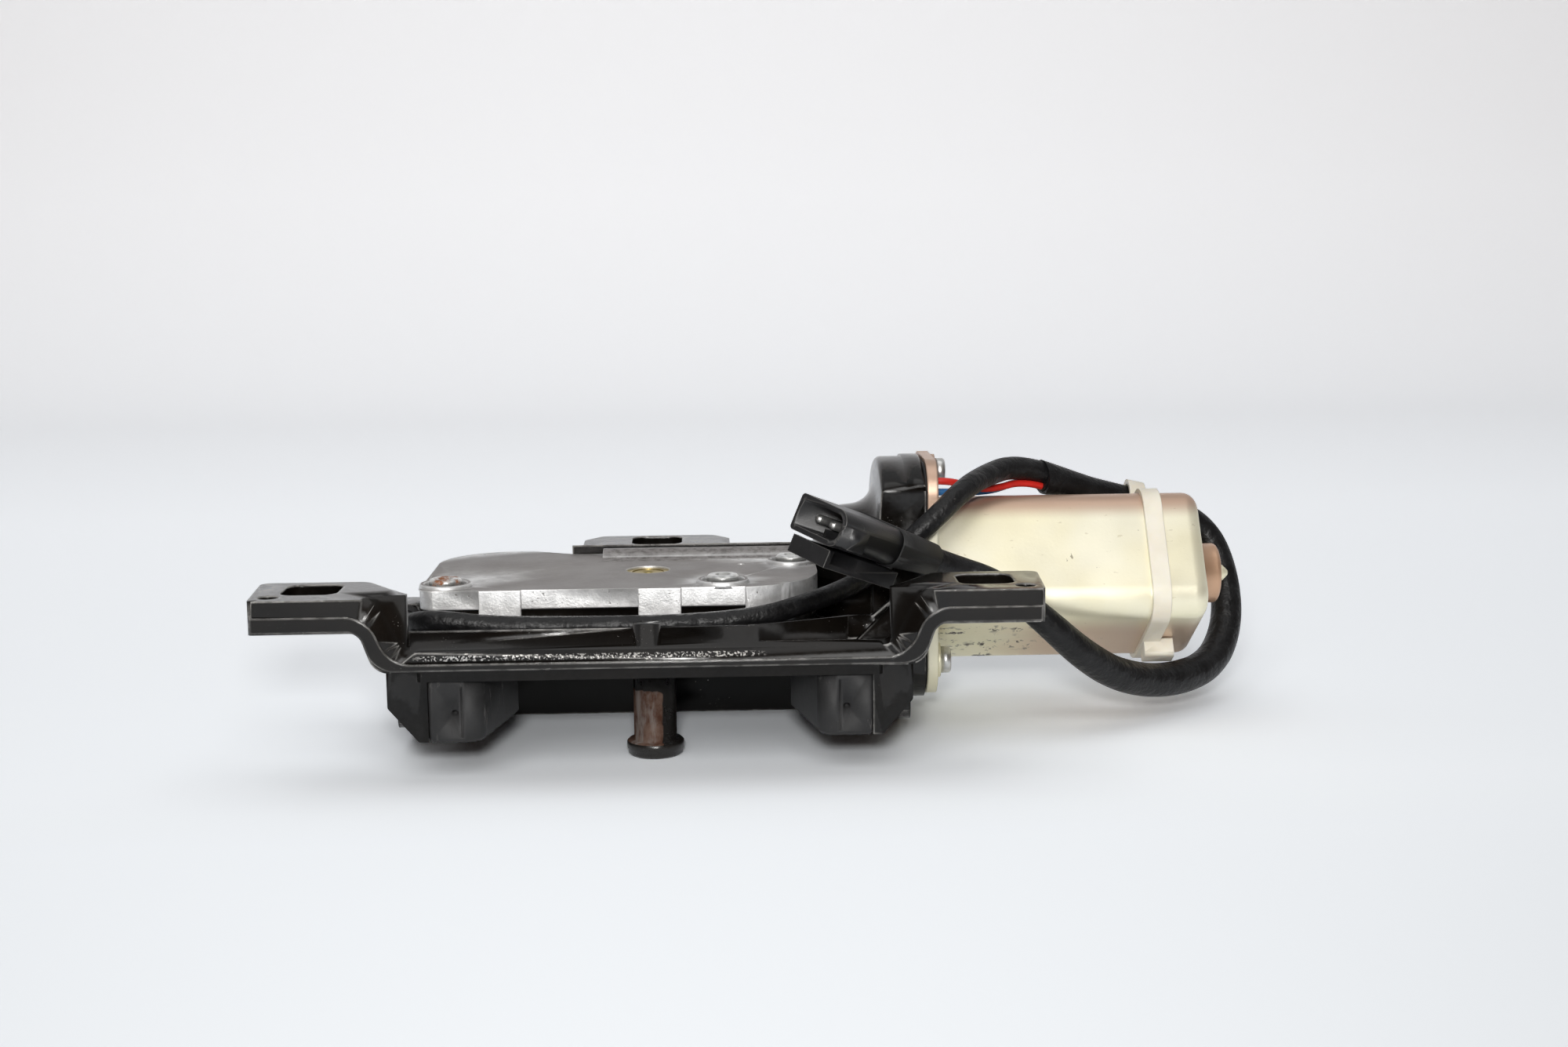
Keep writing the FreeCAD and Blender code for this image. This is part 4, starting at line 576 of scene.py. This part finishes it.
branch = {
    "diameter": 0.0050,
    "length": 0.2086,
    "route": [
        (-0.0608, 0.0259, -0.0029), (-0.0608, 0.0183, -0.0029), (-0.0535, 0.0087, 0.0006),
        (-0.0380, 0.0076, -0.0013), (-0.0140, 0.0075, -0.0017), (0.0100, 0.0077, -0.0016),
        (0.0270, 0.0105, -0.0006), (0.0369, 0.0171, 0.0010), (0.0455, 0.0266, 0.0019),
        (0.0532, 0.0381, 0.0032), (0.0615, 0.0399, 0.0095), (0.0705, 0.0399, 0.0170),
        (0.0795, 0.0456, 0.0248), (0.0870, 0.0576, 0.0270), (0.09616, 0.06653, 0.02854),
        (0.10431, 0.06941, 0.02600),
    ],
    "swell": [1.0, 1.0, 1.0, 1.0, 1.0, 1.0, 1.0, 1.0, 1.02, 1.04, 1.06, 1.1, 1.16, 1.2, 1.26, 1.2],
}
redWire = {
    "diameter": 0.0019,
    "length": 0.0347,
    "route": [
        (0.0736, 0.0535, 0.0262), (0.0778, 0.0535, 0.0262), (0.0840, 0.0576, 0.0236),
        (0.0905, 0.0631, 0.0227), (0.09824, 0.06621, 0.02420), (0.10367, 0.06812, 0.02250),
    ],
    "swell": [1.0] * 6,
}
blueWire = {
    "diameter": 0.0019,
    "length": 0.0338,
    "route": [
        (0.0736, 0.0557, 0.0230), (0.0778, 0.0557, 0.0230), (0.0845, 0.0606, 0.0222),
        (0.0910, 0.0659, 0.0220), (0.09757, 0.06809, 0.02419), (0.10300, 0.07001, 0.02250),
    ],
    "swell": [1.0] * 6,
}

leadPiece = cordCurve("sleevedLead", lead, "sleeve", "lead_loop")
branchPiece = cordCurve("sleevedBranch", branch, "sleeve", "branch_lead")
redPiece = cordCurve("redMotorWire", redWire, "red", "red_wire")
bluePiece = cordCurve("blueMotorWire", blueWire, "blue", "blue_wire")

# The flared open end of the sleeve, cut upright, where the branch and the two wires leave it
flare = {
    "tip": (0.1040, 0.0693, 0.0249),
    "along": (0.9047, 0.3193, -0.2821),
    "rings": ((-0.0006, 0.00445), (0.0050, 0.00415), (0.0110, 0.00375), (0.0150, 0.00355)),
    "lean": 0.30,
    "wall": 0.0006,
    "around": 36,
    "sharpFrom": 40,
}


def flaredEnd():
    shell = bmesh.new()
    firstRadius = flare["rings"][0][1]
    bmesh.ops.create_circle(shell, segments=flare["around"], radius=firstRadius)
    edges = shell.edges[:]
    for (before, old), (after, new) in zip(flare["rings"], flare["rings"][1:]):
        grown = bmesh.ops.extrude_edge_only(shell, edges=edges)["geom"]
        ring = [item for item in grown if isinstance(item, bmesh.types.BMVert)]
        edges = [item for item in grown if isinstance(item, bmesh.types.BMEdge)]
        bmesh.ops.scale(shell, verts=ring, vec=(new / old, new / old, 1))
        bmesh.ops.translate(shell, verts=ring, vec=(0, 0, after - before))
    bmesh.ops.recalc_face_normals(shell, faces=shell.faces)
    bmesh.ops.solidify(shell, geom=shell.faces[:], thickness=flare["wall"])
    bmesh.ops.recalc_face_normals(shell, faces=shell.faces)
    along = Vector(flare["along"])
    upward = (Vector((0, 0, 1)) - along * along.z).normalized()
    across = upward.cross(along)
    shear = Matrix.Identity(4)
    shear[2][0] = -flare["lean"]
    quarter = Matrix.Rotation(math.radians(90), 4, "Z")
    turn = Matrix((across, upward, along)).transposed().to_4x4() @ quarter @ shear
    bmesh.ops.transform(shell, matrix=Matrix.Translation(flare["tip"]) @ turn, verts=shell.verts)
    mesh = bpy.data.meshes.new("flaredEnd")
    shell.to_mesh(mesh)
    shell.free()
    mesh.shade_smooth()
    mesh.set_sharp_from_angle(angle=math.radians(flare["sharpFrom"]))
    return inPlace("flaredEnd", mesh, "sleeve", "housing")


flaredPiece = flaredEnd()

# The lower half of the rail's and the ears' front stands a little proud of the upper half
frontStep = {
    "rightHalf": ((0.0642, -0.0093), (0.0676, 0.0003), (0.0924, 0.0003), (0.0924, 0.0041), (0.0656, 0.0041),
                  (0.0606, -0.0075)),
    "rounded": {1: 0.0026, 2: 0.0046, 3: 0.0046, 4: 0.0026, 7: 0.0050, 8: 0.0050, 9: 0.0050, 10: 0.0050},
    "front": -0.00535,
    "back": -0.0047,
    "edge": 0.00022,
    "cornerSegments": 8,
    "edgeSegments": 2,
}


def proudFront():
    plate = bmesh.new()
    front, right = frontStep["front"], frontStep["rightHalf"]
    lowerLeft = [(-x, z) for x, z in reversed(right[:3])]
    upperLeft = [(-x, z) for x, z in reversed(right[3:])]
    outline = lowerLeft + list(right) + upperLeft
    corners = [plate.verts.new((x, front, z)) for x, z in outline]
    plate.faces.new(corners)
    for index, radius in frontStep["rounded"].items():
        bmesh.ops.bevel(plate, geom=[corners[index]], offset=radius, offset_type="OFFSET",
                        segments=frontStep["cornerSegments"], profile=0.5, affect="VERTICES", material=-1,
                        clamp_overlap=True)
    grown = bmesh.ops.extrude_face_region(plate, geom=plate.faces[:])["geom"]
    moved = [item for item in grown if isinstance(item, bmesh.types.BMVert)]
    bmesh.ops.translate(plate, verts=moved, vec=(0, frontStep["back"] - front, 0))
    bmesh.ops.recalc_face_normals(plate, faces=plate.faces)
    rim = [edge for edge in plate.edges if edge.calc_face_angle(0) > 1.0
           and all(vert.co.y < front + smoothing["merge"] for vert in edge.verts)]
    bmesh.ops.bevel(plate, geom=rim, offset=frontStep["edge"], segments=frontStep["edgeSegments"],
                    profile=0.5, affect="EDGES", material=-1)
    mesh = bpy.data.meshes.new("proudFront")
    plate.to_mesh(mesh)
    plate.free()
    inPlace("proudFront", mesh, "black", "housing")


proudFront()
print("sleeve end and front step added")

print("cords laid")


# Studio: a pale floor that sweeps up behind, soft lamps and the photograph's camera
# The lamps fall off over the floor, so each row of "evened" adds a share of the "shown" colour along it:
# axis, where the stretch starts and ends, and the share at either end
studio = {
    "floor": -0.0385,
    "halfWidth": 2.2,
    "near": -2.0,
    "bendStart": 0.9,
    "bendRadius": 0.6,
    "bendSteps": 16,
    "height": 1.6,
    "pale": (0.80, 0.81, 0.82, 1),
    "shown": (3.08, 3.20, 3.34, 1),
    "evened": (
        ("Y", -0.20, 0.0, 0.20, 0.325),
        ("Y", 0.0, 0.45, 0.0, 0.19),
        ("Y", 0.45, 1.30, 0.0, 0.25),
        ("Z", 0.1, 0.8, 0.0, 0.03),
    ),
}


def sweep():
    profile = bmesh.new()
    floor = studio["floor"]
    edgeVerts = [profile.verts.new((-studio["halfWidth"], studio["near"], floor)),
                 profile.verts.new((-studio["halfWidth"], studio["bendStart"], floor))]
    profile.edges.new(edgeVerts)
    centre = Vector((-studio["halfWidth"], studio["bendStart"], floor + studio["bendRadius"]))
    bmesh.ops.spin(profile, geom=[edgeVerts[1]], cent=centre, axis=(1, 0, 0), angle=math.pi / 2,
                   steps=studio["bendSteps"])
    profile.verts.ensure_lookup_table()
    highest = max(profile.verts, key=lambda v: v.co.z)
    top = bmesh.ops.extrude_vert_indiv(profile, verts=[highest])["verts"][0]
    top.co.z = studio["height"]
    wide = bmesh.ops.extrude_edge_only(profile, edges=profile.edges[:])["geom"]
    bmesh.ops.translate(profile, verts=[v for v in wide if isinstance(v, bmesh.types.BMVert)],
                        vec=(studio["halfWidth"] * 2, 0, 0))
    bmesh.ops.recalc_face_normals(profile, faces=profile.faces)
    mesh = bpy.data.meshes.new("paperSweep")
    profile.to_mesh(mesh)
    profile.free()
    mesh.shade_smooth()
    paper = bpy.data.objects.new("paperSweep", mesh)
    scene.collection.objects.link(paper)
    look = Finish("palePaper", Roughness=0.9, Specular_IOR_Level=0.1)
    look.shader.inputs["Base Color"].default_value = studio["pale"]
    camera, glossy, through = [look.node("ShaderNodeLightPath", {}, {}, "Is " + kind + " Ray")
                               for kind in ("Camera", "Glossy", "Transmission")]
    seen = look.rise(camera + glossy + through, 0.0, 1.0)
    level = 0.0
    for axis, start, end, low, high in studio["evened"]:
        values = {0: look.along(axis), 1: start, 2: end, 3: low, 4: high}
        level = look.node("ShaderNodeMapRange", {}, values) + level
    paler = look.node("ShaderNodeBsdfDiffuse", {}, {"Color": look.mix(level, (0, 0, 0, 1), studio["shown"])})
    lit = Wire(look, look.shader.outputs[0])
    shown = look.node("ShaderNodeMixShader", {}, {0: seen, 1: lit, 2: paler})
    look.tree.links.new(shown.socket, look.tree.nodes["Material Output"].inputs[0])
    mesh.materials.append(look.material)


sweep()

# Each lamp: place, the point it shines at, width and height, watts and colour
lamps = {
    "flash": ((0.005, -0.50, 0.160), (0.02, 0.03, 0.0), (0.070, 0.05), 1.8, (1.0, 0.99, 0.97)),
    "frontBox": ((-0.10, -1.00, 0.75), (0.02, 0.03, 0.0), (0.9, 0.5), 6.0, (1.0, 0.995, 0.985)),
    "topBox": ((0.0, -0.05, 1.1), (0.03, 0.06, 0.0), (1.2, 0.9), 3.0, (1.0, 0.99, 0.98)),
}


def softLamp(name, place, target, size, power, colour):
    data = bpy.data.lights.new(name, "AREA")
    data.shape = "RECTANGLE"
    data.size, data.size_y = size
    data.energy = power
    data.color = colour
    lamp = bpy.data.objects.new(name, data)
    lamp.location = place
    lamp.rotation_euler = (Vector(target) - Vector(place)).to_track_quat("-Z", "Y").to_euler()
    scene.collection.objects.link(lamp)


for name, settings in lamps.items():
    softLamp(name, *settings)

# The room: darker and warmer behind and below the camera, pale in front and above
room = {
    "rise": 0.8,
    "dark": (0.05, (0.16, 0.12, 0.095, 1)),
    "pale": (0.75, (0.72, 0.74, 0.76, 1)),
    "strength": 0.55,
}


class RoomTree(Finish):
    def __init__(self, tree):
        self.tree = tree


def lightRoom():
    world = bpy.data.worlds.new("room")
    scene.world = world
    world.use_nodes = True
    look = RoomTree(world.node_tree)
    toward = look.node("ShaderNodeTexCoord", {}, {}, "Generated")
    height = look.node("ShaderNodeSeparateXYZ", {}, {0: toward}, "Z")
    depth = look.node("ShaderNodeSeparateXYZ", {}, {0: toward}, "Y")
    slope = look.node("ShaderNodeMath", {"operation": "MULTIPLY_ADD"}, {0: height, 1: room["rise"], 2: depth})
    ramp = look.node("ShaderNodeValToRGB", {}, {0: slope})
    stops = ramp.socket.node.color_ramp.elements
    for stop, (position, colour) in zip(stops, (room["dark"], room["pale"])):
        stop.position = position
        stop.color = colour
    sky = world.node_tree.nodes["Background"]
    look.tree.links.new(ramp.socket, sky.inputs["Color"])
    sky.inputs["Strength"].default_value = room["strength"]


lightRoom()

cameraView = {
    "place": (0.01497, -0.47274, 0.09406),
    "toward": (0.03538, 0.98846, -0.14729),
    "roll": 0.6,
    "lens": 46.8,
    "sensor": 36.0,
    "nearest": 0.01,
    "farthest": 20,
}


def makeCamera():
    data = bpy.data.cameras.new("camera")
    data.sensor_width = cameraView["sensor"]
    data.lens = cameraView["lens"]
    data.clip_start = cameraView["nearest"]
    data.clip_end = cameraView["farthest"]
    camera = bpy.data.objects.new("camera", data)
    forward = Vector(cameraView["toward"]).normalized()
    right = forward.cross(Vector((0, 0, 1))).normalized()
    up = right.cross(forward)
    roll = math.radians(cameraView["roll"])
    across = right * math.cos(roll) - up * math.sin(roll)
    upward = right * math.sin(roll) + up * math.cos(roll)
    turn = Matrix((across, upward, -forward)).transposed().to_4x4()
    camera.matrix_world = Matrix.Translation(cameraView["place"]) @ turn
    scene.collection.objects.link(camera)
    scene.camera = camera


makeCamera()
scene.view_settings.view_transform = "Standard"
print("studio ready")
